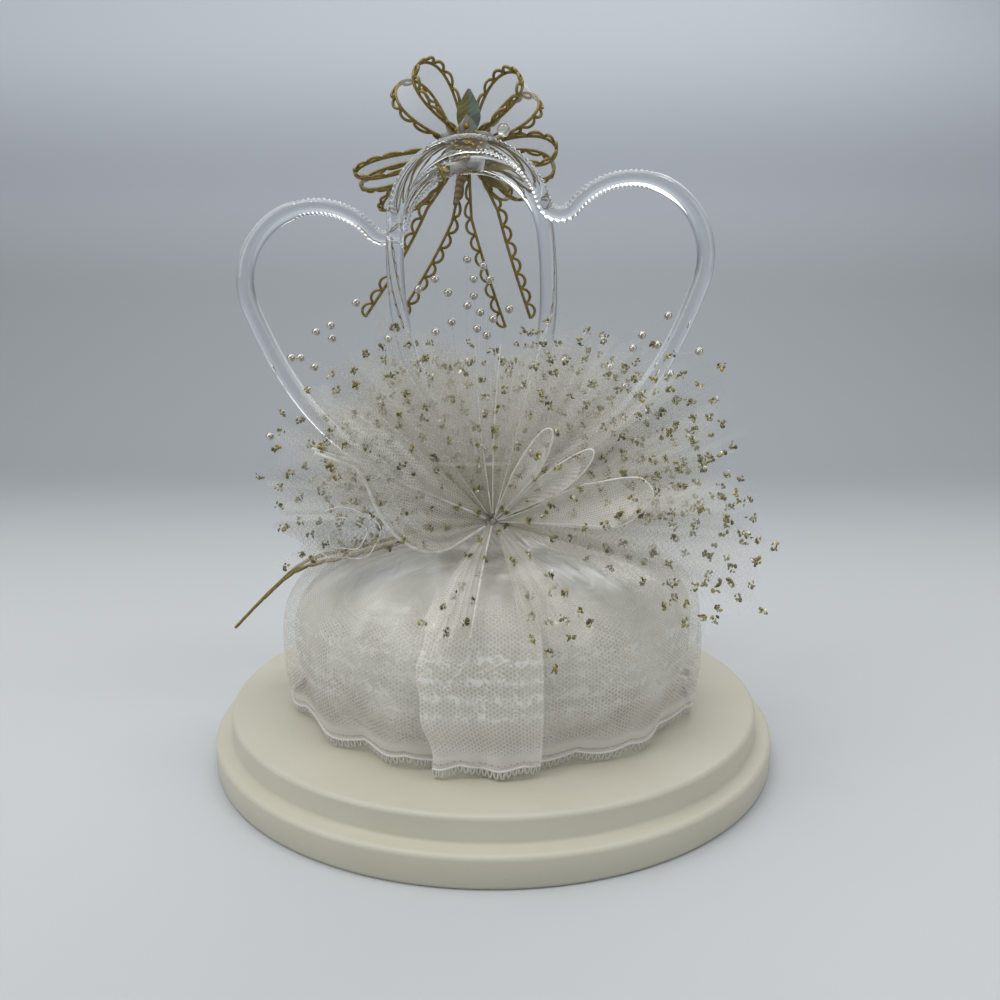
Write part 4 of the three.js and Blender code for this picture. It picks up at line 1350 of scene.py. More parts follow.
def organza_point(u, v):
    """A point of the organza: gathered round the holder, then billowing over the puff."""
    down = np.clip((v - NECK_SHARE) / (1 - NECK_SHARE), 0, 1)
    neck = np.clip((NECK_SHARE - v) / NECK_SHARE, 0, 1)
    radius, height = puff(down)
    radius = lerp(radius, HOLDER_RADIUS + NECK_GAP, np.sqrt(neck))
    height = height + NECK_RISE * neck
    # Waves out of step keep the gathers and the billows uneven
    bunched = np.sin(ORGANZA_GATHERS * TURN * u + 3 * np.sin(TURN * u * 5))
    gathers = GATHER_DEPTH * bunched * np.clip(1.2 - 2 * down, 0, 1)
    swollen = np.sin(BILLOWS * TURN * u + 4 * v + 1.5 * np.sin(3 * TURN * u))
    billow = BILLOW_DEPTH * swollen * np.sin(math.pi * down)
    out = radius - ORGANZA_INSET * (1 - neck) + gathers + billow
    x = HEART_CENTRE * neck + out * np.cos(TURN * u)
    return x, out * np.sin(TURN * u), TOPPER_FLOOR + height + ORGANZA_LIFT


def organza_spread(u, v):
    """Where the organza's point lies when the skirt is spread flat round its neck."""
    out = SKIRT_NECK_RADIUS + ORGANZA_RUN * v
    return out * np.cos(TURN * u), out * np.sin(TURN * u)


def lace_point(angle, down, stand_off, fold):
    """A point of the lace: off the puff, with folds that deepen downwards and a scalloped hem."""
    radius, height = puff(down)
    out = radius + stand_off + LACE_FOLD_DEPTH * down * fold
    scallop = 1 - np.abs(np.sin(LACE_FOLDS * angle))
    lift = SCALLOP_DEPTH * down ** SCALLOP_SHARPNESS * scallop
    z = TOPPER_FLOOR + height + FIT_GAP + lift + stand_off * (1 - down)
    return out * np.cos(angle), out * np.sin(angle), z


def lace_fold(angle):
    """The lace's folds round the skirt, from 0 to 1, which drift a little closer and wider."""
    return 0.5 + 0.5 * np.cos(LACE_FOLDS * angle + LACE_DRIFT * np.sin(3 * angle))


def lap_angle(u, v):
    """Direction of the lap's point round the skirt: its first side is a raw, wandering edge."""
    raw_edge = LAP_FROM + np.radians(3.2 * v + 0.9 * np.sin(8 * v) + 0.4 * np.sin(23 * v))
    return lerp(raw_edge, LAP_TO, u)


def lap_wave(u):
    """Soft waves across the lap, which deepen downwards."""
    return 0.3 * np.sin(TURN * 1.6 * u + 0.6) + 0.12 * np.sin(TURN * 3.7 * u)


def even_down(top, bottom):
    """The lace's run over the puff between two places, and the place at an even share of it."""
    downs = np.linspace(top, bottom, DOWN_STEPS)
    run = distance_along(np.stack(puff(downs), -1))
    return run[-1], lambda share: np.interp(share * run[-1], run, downs)


def picots(name, place, width, settings, finish):
    """Picot loops below a hem: place(u, drop) gives a point so many millimetres below the cloth."""
    count = round(width / (settings.picot_pitch / MM))
    height = settings.picot_height / MM
    swing = np.linspace(0, math.pi, PICOT_STEPS)
    lines = []
    for k in range(count):
        u = (k + 0.5 - PICOT_SPREAD * np.cos(swing)) / count
        lines.append(np.stack(place(u, height * np.sin(swing)), -1))
    edge = np.linspace(0, 1, HEM_STEPS * count + 1)
    lines.append(np.stack(place(edge, np.zeros_like(edge)), -1))
    return thread_piece(name, lines, PICOT_RADIUS, finish, sides=5)


def net_reach(angle):
    """The pouf's reach from its gather: longer to the sides, and most to the right."""
    across = np.sin(angle)
    return NET_REACH_UP + NET_REACH_SIDE * np.abs(across) + NET_REACH_RIGHT * across


def fan_pleats(fan):
    return max(1, round((fan["to"] - fan["from"]) / PLEAT_ANGLE))


def fan_angle(fan, u, v):
    """Direction of a fan's point round the gather, in degrees: a curl sweeps its first side."""
    rise = np.clip((v - CURL_START) / CURL_RUN, 0, 1)
    sweep = fan.get("curl", 0) * rise * rise * (3 - 2 * rise)
    return lerp(fan["from"] + sweep, fan["to"], u)


def fan_point(fan, ply, u, v):
    """A point of a net fan: soft pleats, crinkles that grow outwards and an uneven cut edge."""
    facing = fan.get("facing", FRONT)
    start = fan["from"]
    beat = TURN * fan_pleats(fan) * u
    wild = fan.get("wild", 1)
    angle = np.radians(fan_angle(fan, u, v))
    # Waves out of step with the pleats and with each other stand for the hand cut and the crushing
    ragged = wild * (
        0.045 * np.sin(0.37 * beat + 2 * ply + start)
        + 0.035 * np.sin(1.31 * beat + ply)
        + 0.02 * np.sin(2.9 * beat + 2 * start)
    )
    edge = net_reach(angle) * fan["share"] * (1 - fan.get("rounded", 0) * (2 * u - 1) ** 2)
    edge = edge * (1 + fan.get("peak", 0) * np.sin(math.pi * u ** 1.5))
    out = lerp(NET_BUNDLE, edge * (1 + ragged - PLY_SHORTER * ply), v)
    swing = 0.5 * fan.get("swing", PLEAT_SWING)
    crinkle = (
        2.2 * np.sin(0.61 * beat + 2.3 * v + 1.7 * ply)
        + 1.3 * np.sin(1.9 * beat + 1.9 * ply + 2 * v)
        + 0.5 * np.sin(3.3 * beat + 3 * v + start)
    )
    wave = swing * np.cos(beat + 0.8 * ply * v) + wild * crinkle * v
    tilt = np.radians(fan["lean"] + PLY_LEAN * ply * v + wave)
    sway = SIDE_SWAY * wild * np.sin(0.83 * beat + 2.2 * ply + 1.5 * v) * v
    turn = angle + np.radians(sway)
    x = (HEART_CENTRE if facing > 0 else 0) + out * np.cos(tilt) * np.sin(turn)
    y = facing * (GATHER_FORWARD + out * np.sin(tilt))
    z = GATHER_HEIGHT + out * np.cos(tilt) * np.cos(turn) - fan.get("droop", 0) * v * v
    return x, y, z


def fan_spread(fan, u, v):
    """Where a fan's point lies when the fan is spread flat round its gather."""
    angle = np.radians(fan_angle(fan, u, v))
    out = lerp(NET_BUNDLE, net_reach(angle) * fan["share"], v)
    return out * np.sin(angle), out * np.cos(angle)


def scroll_patch(centre):
    """The rolled side of a fan, seen end on: a loose scroll that widens to the front."""
    def point_at(u, v):
        angle = TURN * SCROLL_TURNS * u + SCROLL_START
        dents = 1 + 0.05 * np.sin(5 * angle)
        radius = lerp(*SCROLL_RADII, u) * (1 - SCROLL_TAPER * v) * dents
        x = centre[0] + SCROLL_OVAL[0] * radius * np.cos(angle)
        z = centre[2] + SCROLL_OVAL[1] * radius * np.sin(angle)
        return x, centre[1] + SCROLL_DEPTH * v + 0.8 * np.sin(3 * angle), z

    length = math.pi * SCROLL_TURNS * sum(SCROLL_RADII)
    return surface(
        point_at, *SCROLL_GRID, size=(length * MM, SCROLL_DEPTH * MM),
        flat=lambda u, v: (length * u, SCROLL_DEPTH * v),
    )


def fold_lines(fan):
    """Lines of a fan's rolled folds: out from the gather, along a ridge and round a rounded rim."""
    side = np.linspace(FOLD_START, 1, FOLD_STEPS)
    places = [(np.full_like(side, u), side) for u in fan.get("folds", ())]
    if "ridge" in fan:
        first = fan_angle(fan, 0, side)
        places.append((np.clip((fan["ridge"] - first) / (fan["to"] - first), 0, 1), side))
    if "rounded" in fan:
        rim = np.linspace(0, 1, RIM_STEPS)
        places.append((rim, np.ones_like(rim)))
    return [np.stack(fan_point(fan, 0, u, v), -1) for u, v in places]


def net_fan(name, fan, settings, net, fold, flakes):
    """One fan of two net plies, with folded sides that catch the light and its own glitter."""
    span = math.radians(fan["to"] - fan["from"])
    reach = NET_CUT_REACH * fan["share"]
    steps = PLEAT_STEPS * fan_pleats(fan)
    size = (NET_FULLNESS * span * reach * MM, reach * MM)
    plies = [
        surface(
            lambda u, v, ply=ply: fan_point(fan, ply, u, 1 - v), steps, NET_ROWS, size=size,
            flat=lambda u, v: fan_spread(fan, u, 1 - v),
        )
        for ply in range(2)
    ]
    lines = fold_lines(fan)
    if "scroll" in fan:
        plies.append(scroll_patch(fan["scroll"]))
        lines.append(plies[-1]["points"][0] / MM)
    cloth = mesh_piece(name + "_cloth", plies, net)
    flecks = shown(name + "_flecks", cloth.data.copy())
    grown(flecks, bpy.data.node_groups["glitter_flecks"], {
        "Gap": settings.fleck_gap,
        "Spread": settings.fleck_spread,
        "Flake": settings.flake,
        "Count": settings.flakes,
        "Seed": round(fan["from"]) + FLECK_SEED_SHIFT,
        "Material": flakes,
    })
    seat(cloth, "glitter_net", name)
    seat(flecks, "glitter_net")
    if lines:
        edge = thread_piece(name + "_fold", lines, fan.get("roll", FOLD_ROLL), fold, sides=5)
        seat(edge, "glitter_net")


def wound_knob(name, facing, finish):
    """The thread knob that ties a gather, with its peg to the holder's cheek."""
    low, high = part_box(name)
    centre = Vector(((low.x + high.x) / 2, 0, GATHER_HEIGHT * MM)) / MM
    cheek = low.y / MM if facing == REAR else high.y / MM

    def ball(u, v):
        polar = math.pi * v
        wrap = 1 + KNOB_WIND[0] * np.sin(KNOB_WIND[1] * polar + TURN * u)
        x = centre.x + KNOB_RADIUS * wrap * np.sin(polar) * np.cos(TURN * u)
        y = facing * GATHER_FORWARD + KNOB_RADIUS * wrap * np.cos(polar)
        return x, y, centre.z + KNOB_RADIUS * wrap * np.sin(polar) * np.sin(TURN * u)

    def peg(u, v):
        wrap = 1 + PEG_WIND[0] * np.sin(PEG_WIND[1] * v + TURN * u)
        capped = np.where(v > LAST_RING, 0, 1)
        radius = PEG_RADIUS * wrap * capped
        y = lerp(cheek, facing * (GATHER_FORWARD - PEG_SHORT), v)
        return centre.x + radius * np.cos(TURN * u), y, centre.z + radius * np.sin(TURN * u)

    size = (KNOB_RADIUS * TURN * MM, KNOB_RADIUS * math.pi * MM)
    patches = [
        surface(ball, *KNOB_GRID, ring=True, size=size),
        surface(peg, *PEG_GRID, ring=True, size=size),
    ]
    return mesh_piece(name + "_thread", patches, finish)


def knot_place():
    """The knot's middle, in millimetres."""
    low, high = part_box("bow_knot")
    return np.array((low + high) / 2) / MM


def ribbon_axes(aim, lean, roll):
    """Out from the knot, across the loop's opening, and along the ribbon's width."""
    aim, lean = math.radians(aim), math.radians(lean)
    out = Vector((math.cos(lean) * math.cos(aim), -math.sin(lean), math.cos(lean) * math.sin(aim)))
    side = Vector((-math.sin(aim), 0, math.cos(aim)))
    side.rotate(Matrix.Rotation(math.radians(roll), 3, out))
    return np.array(out), np.array(side), np.array(out.cross(side))


def off_knot(knot, axes, reach, across, wide):
    """A point so far out from the knot, across the opening and along the width."""
    out, side, width = axes
    return tuple(knot[k] + out[k] * reach + side[k] * across + width[k] * wide for k in range(3))


def loop_point(loop, knot, u, wide):
    """A point of a bow loop, wide millimetres off its centre line."""
    swell = np.clip(np.sin(np.pi * u), 0, 1)
    reach = RIBBON_START + (loop["length"] - RIBBON_START) * swell
    across = loop["opening"] / 2 * np.sin(TURN * u) + LEG_GAP * (1 - 2 * u)
    wide = wide * lerp(RIBBON_PINCH, 1, np.sqrt(swell))
    return off_knot(knot, ribbon_axes(loop["aim"], loop["lean"], loop["roll"]), reach, across, wide)


def tail_point(tail, knot, u, wide):
    """A point of a bow tail, wide millimetres off its centre line."""
    reach = lerp(RIBBON_START, tail["length"], u)
    arch = np.sin(np.pi * u)
    wide = wide * lerp(RIBBON_PINCH, 1, np.clip(TAIL_OPENS * u, 0, 1)) + tail["sway"] * arch
    bend = tail["bend"] * arch
    return off_knot(knot, ribbon_axes(tail["aim"], tail["lean"], tail["roll"]), reach, bend, wide)


def loose_point(route, u, wide):
    """A point of the loose ribbon end on a smooth curve through its route, wide across it."""
    t = np.clip(u, 0, 1) * (len(route) - 1)
    k = np.clip(t.astype(int), 0, len(route) - 2)
    f = (t - k)[..., None]
    before = route[np.clip(k - 1, 0, None)]
    here, after = route[k], route[k + 1]
    beyond = route[np.clip(k + 2, None, len(route) - 1)]
    bend = 2 * here + (after - before) * f + (2 * before - 5 * here + 4 * after - beyond) * f ** 2
    spot = 0.5 * (bend + (3 * here - before - 3 * after + beyond) * f ** 3)
    return spot[..., 0], spot[..., 1] + wide, spot[..., 2]


def edged_ribbon(name, point, film, gold, settings):
    """A sheer ribbon with gold lines along both edges and thread loops outside them."""
    half = settings.film_width / MM / 2
    middle = np.linspace(0, 1, RIBBON_STEPS)
    run = np.stack(point(middle, np.zeros_like(middle)), -1)
    length = run_length(run)
    size = (length * MM, 2 * half * MM)
    flat = surface(lambda u, v: point(u, half * (2 * v - 1)), *RIBBON_GRID, size=size)
    cloth = mesh_piece(name + "_film", [flat], film)
    count = max(3, round(length / (settings.scallop_pitch / MM)))
    swing = np.linspace(0, math.pi, THREAD_LOOP_STEPS)
    line = np.linspace(0, 1, EDGE_LINE_STEPS)
    lines = []
    for edge in (-1, 1):
        lines.append(np.stack(point(line, np.full_like(line, edge * half)), -1))
        for k in range(count):
            u = (k + 0.5 - THREAD_LOOP_SPREAD * np.cos(swing)) / count
            wide = edge * (half + settings.scallop_height / MM * np.sin(swing))
            lines.append(np.stack(point(u, wide), -1))
    trim = thread_piece(name + "_trim", lines, settings.thread_radius / MM, gold)
    seat(cloth, "gold_ribbon", name)
    seat(trim, "gold_ribbon")


def petals(centre, count, radius, cup, turn, width):
    """A ring of cupped petals with wavy rims, facing the front."""
    patches = []
    for k in range(count):
        middle = TURN * k / count + turn

        def point_at(u, v, middle=middle):
            # Narrow at the heart, widest past the middle, with a wavy rim whose corners drop
            side = 2 * u - 1
            bulge = np.sin(math.pi * np.clip(0.12 + 0.8 * v, 0, 1)) ** 0.7
            across = side * width * bulge
            out = radius * (0.1 + 0.9 * v) * (1 - 0.12 * side ** 2)
            lift = cup * v * v + 0.5 * np.sin(9 * u + 2 * k) * v - 0.8 * side ** 2 * v
            x = centre[0] + out * np.cos(middle) - across * np.sin(middle)
            z = centre[2] + out * np.sin(middle) + across * np.cos(middle)
            return x, centre[1] - lift, z

        patches.append(surface(point_at, *PETAL_GRID, size=(2 * width * MM, radius * MM)))
    return patches


def leaf_patch(aim, lean, length, wide, knot):
    """A pointed leaf, folded along its midrib."""
    axes = ribbon_axes(aim, lean, 0)

    def point_at(u, v):
        half = LEAF_STALK + wide / 2 * np.sin(math.pi * u ** 0.8)
        across = half * (2 * v - 1)
        lift = -LEAF_FOLD * np.abs(across) + LEAF_RIPPLE * np.sin(16 * u) * np.abs(2 * v - 1)
        return off_knot(knot, axes, lerp(RIBBON_START, length, u), across, lift)

    return surface(point_at, *LEAF_GRID, size=(length * MM, wide * MM))


class TOPPER_OT_base(bpy.types.Operator):
    """Makes the painted display base and finishes the pedestal and the forked holder"""

    bl_idname = "topper.base"
    bl_label = "Display base and holder"

    def execute(self, context):
        soft = context.scene.topper_base.edge_round / MM
        upper = BASE_RADIUS - LEDGE_WIDTH
        bend = np.linspace(0, math.pi / 2, EDGE_STEPS)

        def edge(radius, height):
            return [
                (radius - soft + soft * math.cos(a), height - soft + soft * math.sin(a))
                for a in bend
            ]

        profile = [(0, 0), (FLOOR_RING, 0)]
        profile += [(BASE_RADIUS - inset, height) for inset, height in FOOT_ROUND]
        profile += edge(BASE_RADIUS, LEDGE_HEIGHT)
        profile += [(upper + out, LEDGE_HEIGHT + rise) for out, rise in LEDGE_COVE]
        profile += [*edge(upper, BASE_HEIGHT), (TOP_RING, BASE_HEIGHT), (0, BASE_HEIGHT)]
        base = mesh_piece("painted_base", [turned_patch(profile, BASE_SEGMENTS)], ivory_paint())
        seat(base, "ivory_paint", "display_base", body="display_base")
        white = moulded_white()
        for name in ("pedestal", "heart_holder"):
            paint_node(name, white)
        return {"FINISHED"}


class TOPPER_OT_hearts(bpy.types.Operator):
    """Makes the two clear rod hearts with their notched lobes"""

    bl_idname = "topper.hearts"
    bl_label = "Rod hearts"

    def execute(self, context):
        settings = context.scene.topper_hearts
        acrylic = clear_acrylic()
        for name, tip, tilt in (
            ("heart_left", LEFT_TIP, LEFT_TILT),
            ("heart_right", RIGHT_TIP, RIGHT_TILT),
        ):
            seat(notched_heart(name + "_rod", tip, tilt, settings, acrylic), "clear_acrylic", name)
        return {"FINISHED"}


class TOPPER_OT_skirts(bpy.types.Operator):
    """Makes the organza underskirt, the lace skirt and the lace's front lap"""

    bl_idname = "topper.skirts"
    bl_label = "Skirts"

    def execute(self, context):
        settings = context.scene.topper_lace
        hem_share = 1 - settings.picot_height / MM / HEM_RUN

        width = TURN * SKIRT_RADIUS * MM
        organza_cut = (ORGANZA_FULLNESS * width, ORGANZA_RUN * MM)
        puffed = surface(
            organza_point, *ORGANZA_GRID, ring=True, size=organza_cut, flat=organza_spread
        )
        under = mesh_piece("organza_puff", [puffed], organza())
        seat(under, "organza", "organza_underskirt")

        length, skirt_down = even_down(LACE_TOP, hem_share)
        cut = (LACE_FULLNESS * width, length * MM)
        white = white_thread()
        soft = lace("soft_lace", length, (0.14, 0.46), 0.8, 0.55)

        def skirt(u, v):
            angle = TURN * u
            return lace_point(angle, skirt_down(v), LACE_STAND_OFF, lace_fold(angle))

        def skirt_drop(u, drop):
            angle = TURN * u
            down = hem_share + drop / HEM_RUN
            return lace_point(angle, down, LACE_STAND_OFF, lace_fold(angle))

        skirt_piece = mesh_piece(
            "lace_round", [surface(skirt, *LACE_GRID, ring=True, size=cut)], soft
        )
        edge = picots("lace_round_picots", skirt_drop, cut[0] / MM, settings, white)
        seat(skirt_piece, "lace", "lace_skirt")
        seat(edge, "lace")

        lap_length, lap_down = even_down(LAP_TOP, hem_share)
        lap_width = (LAP_TO - LAP_FROM) * (SKIRT_RADIUS + LAP_STAND_OFF)
        lap_cut = (LAP_FULLNESS * lap_width * MM, lap_length * MM)
        turned_cut = (LAP_TURNED * (SKIRT_RADIUS + LAP_STAND_OFF) * MM, lap_cut[1])
        crisp = lace("crisp_lace", lap_length, (0.36, 0.62), 0.85, 0.85)

        def lap(u, v):
            fold = 1 + lap_wave(u) * v
            return lace_point(lap_angle(u, v), lap_down(v), LAP_STAND_OFF, fold)

        def lap_drop(u, drop):
            down = hem_share + drop / HEM_RUN
            return lace_point(lap_angle(u, 1), down, LAP_STAND_OFF, 1 + lap_wave(u))

        def turned_edge(u, v):
            angle = lerp(LAP_TO, LAP_TO - LAP_TURNED, u)
            return lace_point(angle, lap_down(v), LAP_STAND_OFF - LAP_TURNED_GAP, 1)

        lap_piece = mesh_piece("lace_lap", [
            surface(lap, *LAP_GRID, size=lap_cut),
            surface(turned_edge, *LAP_TURNED_GRID, size=turned_cut),
        ], crisp)
        lap_edge = picots("lace_lap_picots", lap_drop, lap_cut[0] / MM, settings, white)
        seat(lap_piece, "lace", "lace_front_lap")
        seat(lap_edge, "lace")
        return {"FINISHED"}


class TOPPER_OT_net(bpy.types.Operator):
    """Makes the net fans of the pouf with their glitter, and the wound ties of the gathers"""

    bl_idname = "topper.net"
    bl_label = "Net pouf"

    def execute(self, context):
        settings = context.scene.topper_net
        cloths = {key: glitter_net(*net) for key, net in NETS.items()}
        fold = net_fold()
        bound = gathered_thread()
        flakes = glitter_flakes()
        for name, facing in (("front_gather_tie", FRONT), ("rear_gather_tie", REAR)):
            seat(wound_knob(name, facing, bound), "white_thread", name)
        for name, fan in NET_FANS.items():
            net_fan(name, fan, settings, cloths[fan.get("cloth", "full")], fold, flakes)
        return {"FINISHED"}


class TOPPER_OT_sprays(bpy.types.Operator):
    """Makes the pearls on their filaments"""

    bl_idname = "topper.sprays"
    bl_label = "Pearl sprays"

    def execute(self, context):
        coat = pearl_coat()
        nylon = clear_filament()
        ball = np.linspace(0, math.pi, BUD_STEPS)
        bud_profile = [
            (SPRAY_BUD_RADIUS * math.sin(a), -SPRAY_BUD_RADIUS * math.cos(a)) for a in ball
        ]
        t = np.linspace(0, 1, FILAMENT_STEPS)[:, None]
        middle = (len(PEARL_SPRAYS) - 1) / 2
        for k, (name, (depth, spots)) in enumerate(PEARL_SPRAYS.items()):
            across = HEART_CENTRE + (k - middle) * SPRAY_PITCH
            root = np.array((across, SPRAY_ROOT_BACK, HOLDER_TOP + SPRAY_ROOT_RISE))
            ends = [
                np.array((HEART_CENTRE + x, depth + math.sin(SPIRAL * n), HOLDER_TOP + up))
                for n, (x, up) in enumerate(spots)
            ]
            lines = []
            for end in ends:
                arch = np.array((0, 0, SPRAY_ARCH * abs(end[0] - root[0])))
                lines.append(root * (1 - t) + end * t + arch * 4 * t * (1 - t))
            strands = thread_piece(name + "_filaments", lines, FILAMENT_RADIUS, nylon, sides=5)
            beads = bead_piece(name + "_pearls", ends, PEARL_RADIUS, PEARL_SEGMENTS, coat)
            bud = mesh_piece(name + "_bud", [turned_patch(bud_profile, PEARL_SEGMENTS)], coat)
            bud.data.transform(Matrix.Translation(Vector(root) * MM))
            seat(joined(name + "_beads", beads, bud), "pearl", name)
            seat(strands, "pearl")
        return {"FINISHED"}


class TOPPER_OT_bow(bpy.types.Operator):
    """Makes the bow's loops and tails, its knot and the loose ribbon end"""

    bl_idname = "topper.bow"
    bl_label = "Ribbon bow"

    def execute(self, context):
        settings = context.scene.topper_bow
        film = ribbon_film()
        gold = gold_thread()
        knot = knot_place()
        neck = TOPPER_FLOOR + SKIRT_HEIGHT
        route = np.array([(x, y, neck + up) for x, y, up in LOOSE_ROUTE])
        ribbons = {}
        for name, loop in BOW_LOOPS.items():
            ribbons[name] = lambda u, wide, loop=loop: loop_point(loop, knot, u, wide)
        for name, tail in BOW_TAILS.items():
            ribbons[name] = lambda u, wide, tail=tail: tail_point(tail, knot, u, wide)
        ribbons["back_ribbon_end"] = lambda u, wide: loose_point(route, np.asarray(u), wide)
        for name, point in ribbons.items():
            edged_ribbon(name, point, film, gold, settings)
        wraps = []
        angle = np.linspace(0, TURN, KNOT_RING_STEPS)
        for turn in range(KNOT_WRAPS):
            tip = KNOT_WRAP_TURN * turn
            ring = np.stack(
                [np.cos(angle), np.sin(angle) * math.cos(tip), np.sin(angle) * math.sin(tip)], -1
            )
            wraps.append(knot + (KNOT_RADIUS - KNOT_CORD_RADIUS) * ring)
        wound = thread_piece("bow_knot_wraps", wraps, KNOT_CORD_RADIUS, gold)
        seat(wound, "gold_ribbon", "bow_knot")
        paint_node("bow_wire", gold)
        return {"FINISHED"}


class TOPPER_OT_flower(bpy.types.Operator):
    """Makes the silk flower, its stamens, leaves, beads and bound stem"""

    bl_idname = "topper.flower"
    bl_label = "Silk flower"

    def execute(self, context):
        knot = knot_place()
        heart = knot - np.array((0, FLOWER_DEPTH, 0))
        rings = []
        for forward, share, turn, width in PETAL_RINGS:
            centre = heart - np.array((0, forward, 0))
            rings += petals(centre, PETALS, share * FLOWER_RADIUS, FLOWER_CUP, turn, width)
        flower = mesh_piece("silk_petals", rings, petal_silk())
        seat(flower, "silk", "silk_flower")
        spots = [heart - np.array((0, STAMEN_MIDDLE, 0))]
        for k in range(STAMENS):
            ring = STAMEN_RING + STAMEN_STEP * (k % STAMEN_STEPS)
            angle = SPIRAL * k
            place = (ring * math.cos(angle), -STAMEN_FORWARD[k % 2], ring * math.sin(angle))
            spots.append(heart + np.array(place))
        heads = bead_piece("stamen_heads", spots, STAMEN_RADIUS, STAMEN_SEGMENTS, gold_glitter())
        seat(heads, "gold_glitter", "gold_stamens")
        for name, (slot, leaf, tones) in LEAVES.items():
            blade = mesh_piece(name + "_blade", [leaf_patch(*leaf, knot)], leaf_cloth(name, *tones))
            seat(blade, slot, name)
        glass = clear_bead_glass()
        gold = bpy.data.materials["gold_thread"]
        ball = []
        for angle in np.linspace(0, math.pi, BEAD_STEPS):
            ripple = 1 + BEAD_RIPPLE[0] * math.cos(BEAD_RIPPLE[1] * angle)
            ball.append((BEAD_RADIUS * math.sin(angle) * ripple, -BEAD_RADIUS * math.cos(angle)))
        for name, (aim, lean, length) in BEAD_PICKS.items():
            out = ribbon_axes(aim, lean, 0)[0]
            head = knot + out * length
            bead = mesh_piece(name + "_glass", [turned_patch(ball, BEAD_SEGMENTS)], glass)
            bead.data.transform(Matrix.Translation(Vector(head) * MM))
            line = [knot + out * RIBBON_START, head - out * PICK_WIRE_END]
            wire = thread_piece(name + "_wire", [line], PICK_WIRE_RADIUS, gold)
            seat(bead, "clear_bead", name)
            seat(wire, "gold_wire")
        axes = ribbon_axes(STEM_AIM, STEM_LEAN, 0)

        def stem(u, v):
            wrap = 1 + STEM_WIND[0] * np.sin(STEM_WIND[1] * v + TURN * u)
            capped = np.where((v < FIRST_RING) | (v > LAST_RING), 0, 1)
            radius = lerp(STEM_RADIUS, STEM_END_RADIUS, v) * wrap * capped
            reach = lerp(STEM_START, STEM_LENGTH, v)
            return off_knot(knot, axes, reach, radius * np.cos(TURN * u), radius * np.sin(TURN * u))

        wound = surface(stem, *STEM_GRID, ring=True, size=STEM_CUT)
        tape = mesh_piece("stem_tape_winding", [wound], stem_tape())
        seat(tape, "stem_tape", "stem_binding")
        return {"FINISHED"}


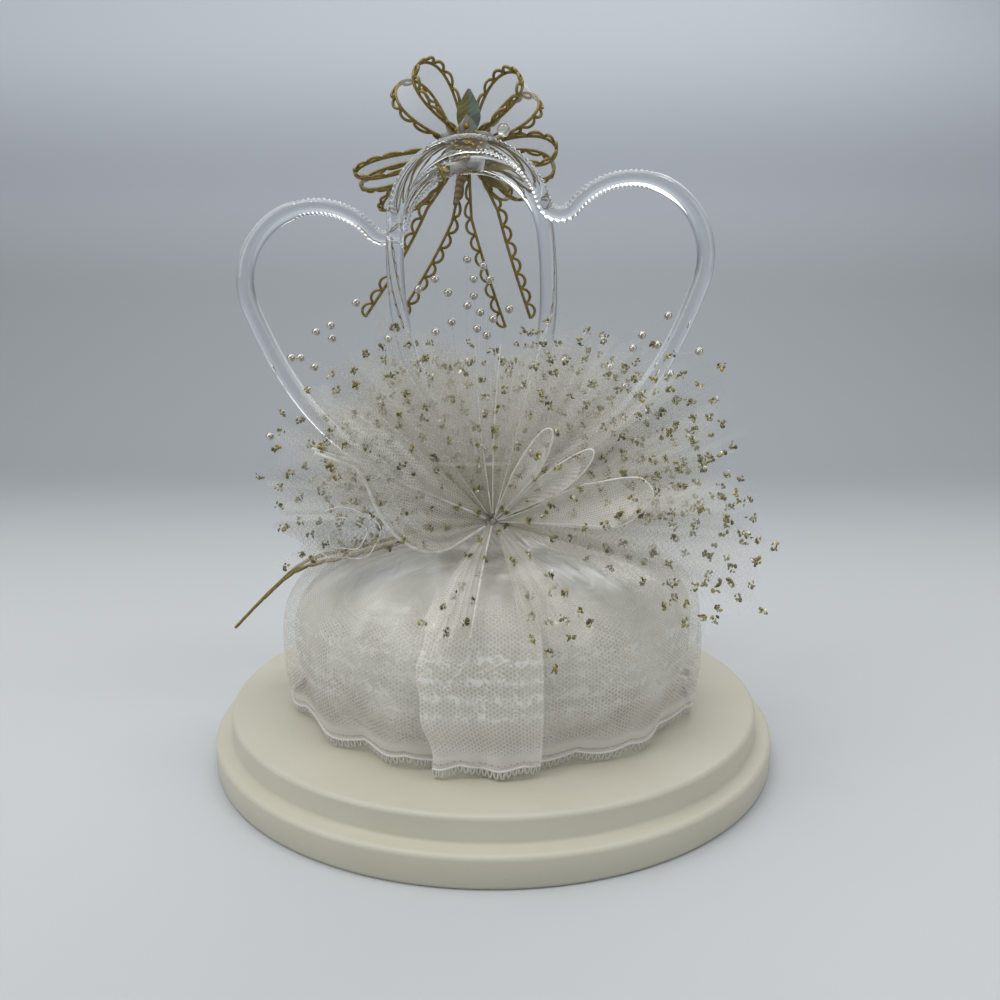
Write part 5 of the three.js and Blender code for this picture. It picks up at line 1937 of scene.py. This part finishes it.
class TOPPER_OT_stage(bpy.types.Operator):
    """Makes the pale floor and backdrop, the soft lights and the camera"""

    bl_idname = "topper.stage"
    bl_label = "Stage"

    def execute(self, context):
        settings = context.scene.topper_stage
        bend = np.linspace(0, math.pi / 2, CARD_BEND_STEPS)
        card_back = FLOOR_BACK + CARD_BEND
        sweep = [(FLOOR_FRONT, 0), (FLOOR_BACK, 0)]
        sweep += [
            (FLOOR_BACK + CARD_BEND * math.sin(a), CARD_BEND - CARD_BEND * math.cos(a))
            for a in bend[1:]
        ]
        sweep = np.array([*sweep, (card_back, CARD_TOP)])
        run = distance_along(sweep)

        def card(u, v):
            spot = v * run[-1]
            depth, height = (np.interp(spot, run, sweep[:, k]) for k in range(2))
            return lerp(-CARD_HALF, CARD_HALF, u), depth, height

        floor = mesh_piece("backdrop", [surface(card, *CARD_GRID)], backdrop_paint(settings))
        world = bpy.data.worlds.new("soft_room")
        world.use_nodes = True
        sky = world.node_tree.nodes["Background"]
        sky.inputs["Color"].default_value = hex_colour(ROOM_TONE)
        sky.inputs["Strength"].default_value = ROOM_STRENGTH
        context.scene.world = world
        for name, (place, size, power) in LAMPS.items():
            lamp = bpy.data.lights.new(name, "AREA")
            lamp.shape = "RECTANGLE"
            lamp.size, lamp.size_y = size
            lamp.energy = power
            holder = bpy.data.objects.new(name, lamp)
            holder.location = place
            aim = Vector(LAMP_AIM) - Vector(place)
            holder.rotation_euler = aim.to_track_quat("-Z", "Y").to_euler()
            context.scene.collection.objects.link(holder)
        lens = bpy.data.cameras.new("camera")
        lens.lens = settings.lens
        lens.sensor_width = SENSOR_WIDTH
        lens.clip_start = NEAREST_SEEN
        camera = bpy.data.objects.new("camera", lens)
        camera.location = CAMERA_PLACE
        camera.rotation_euler = (math.pi / 2 - settings.pitch, 0, 0)
        context.scene.collection.objects.link(camera)
        context.scene.camera = camera
        context.scene.view_settings.view_transform = "Standard"
        context.scene.cycles.transparent_max_bounces = NET_BOUNCES
        return {"FINISHED"}


class TOPPER_PT_panel(bpy.types.Panel):
    """Lists the topper's operators"""

    bl_label = "Wedding cake topper"
    bl_space_type = "VIEW_3D"
    bl_region_type = "UI"
    bl_category = "Topper"

    def draw(self, context):
        for operator in OPERATORS:
            self.layout.operator(operator.bl_idname)


SETTINGS = {
    "topper_base": BaseSettings,
    "topper_hearts": HeartSettings,
    "topper_lace": LaceSettings,
    "topper_net": NetSettings,
    "topper_bow": BowSettings,
    "topper_stage": StageSettings,
}
OPERATORS = (
    TOPPER_OT_base,
    TOPPER_OT_hearts,
    TOPPER_OT_skirts,
    TOPPER_OT_net,
    TOPPER_OT_sprays,
    TOPPER_OT_bow,
    TOPPER_OT_flower,
    TOPPER_OT_stage,
)


def register():
    for group in SETTINGS.values():
        bpy.utils.register_class(group)
    for name, group in SETTINGS.items():
        setattr(bpy.types.Scene, name, bpy.props.PointerProperty(type=group))
    for made in (*OPERATORS, TOPPER_PT_panel):
        bpy.utils.register_class(made)


def unregister():
    for made in reversed((*OPERATORS, TOPPER_PT_panel)):
        bpy.utils.unregister_class(made)
    for name, group in SETTINGS.items():
        delattr(bpy.types.Scene, name)
        bpy.utils.unregister_class(group)


def main():
    register()
    for make_tree in (thread_tree, bead_tree, fleck_tree):
        make_tree()
    for operator in OPERATORS:
        group, name = operator.bl_idname.split(".")
        getattr(getattr(bpy.ops, group), name)()


if __name__ == "__main__":
    main()
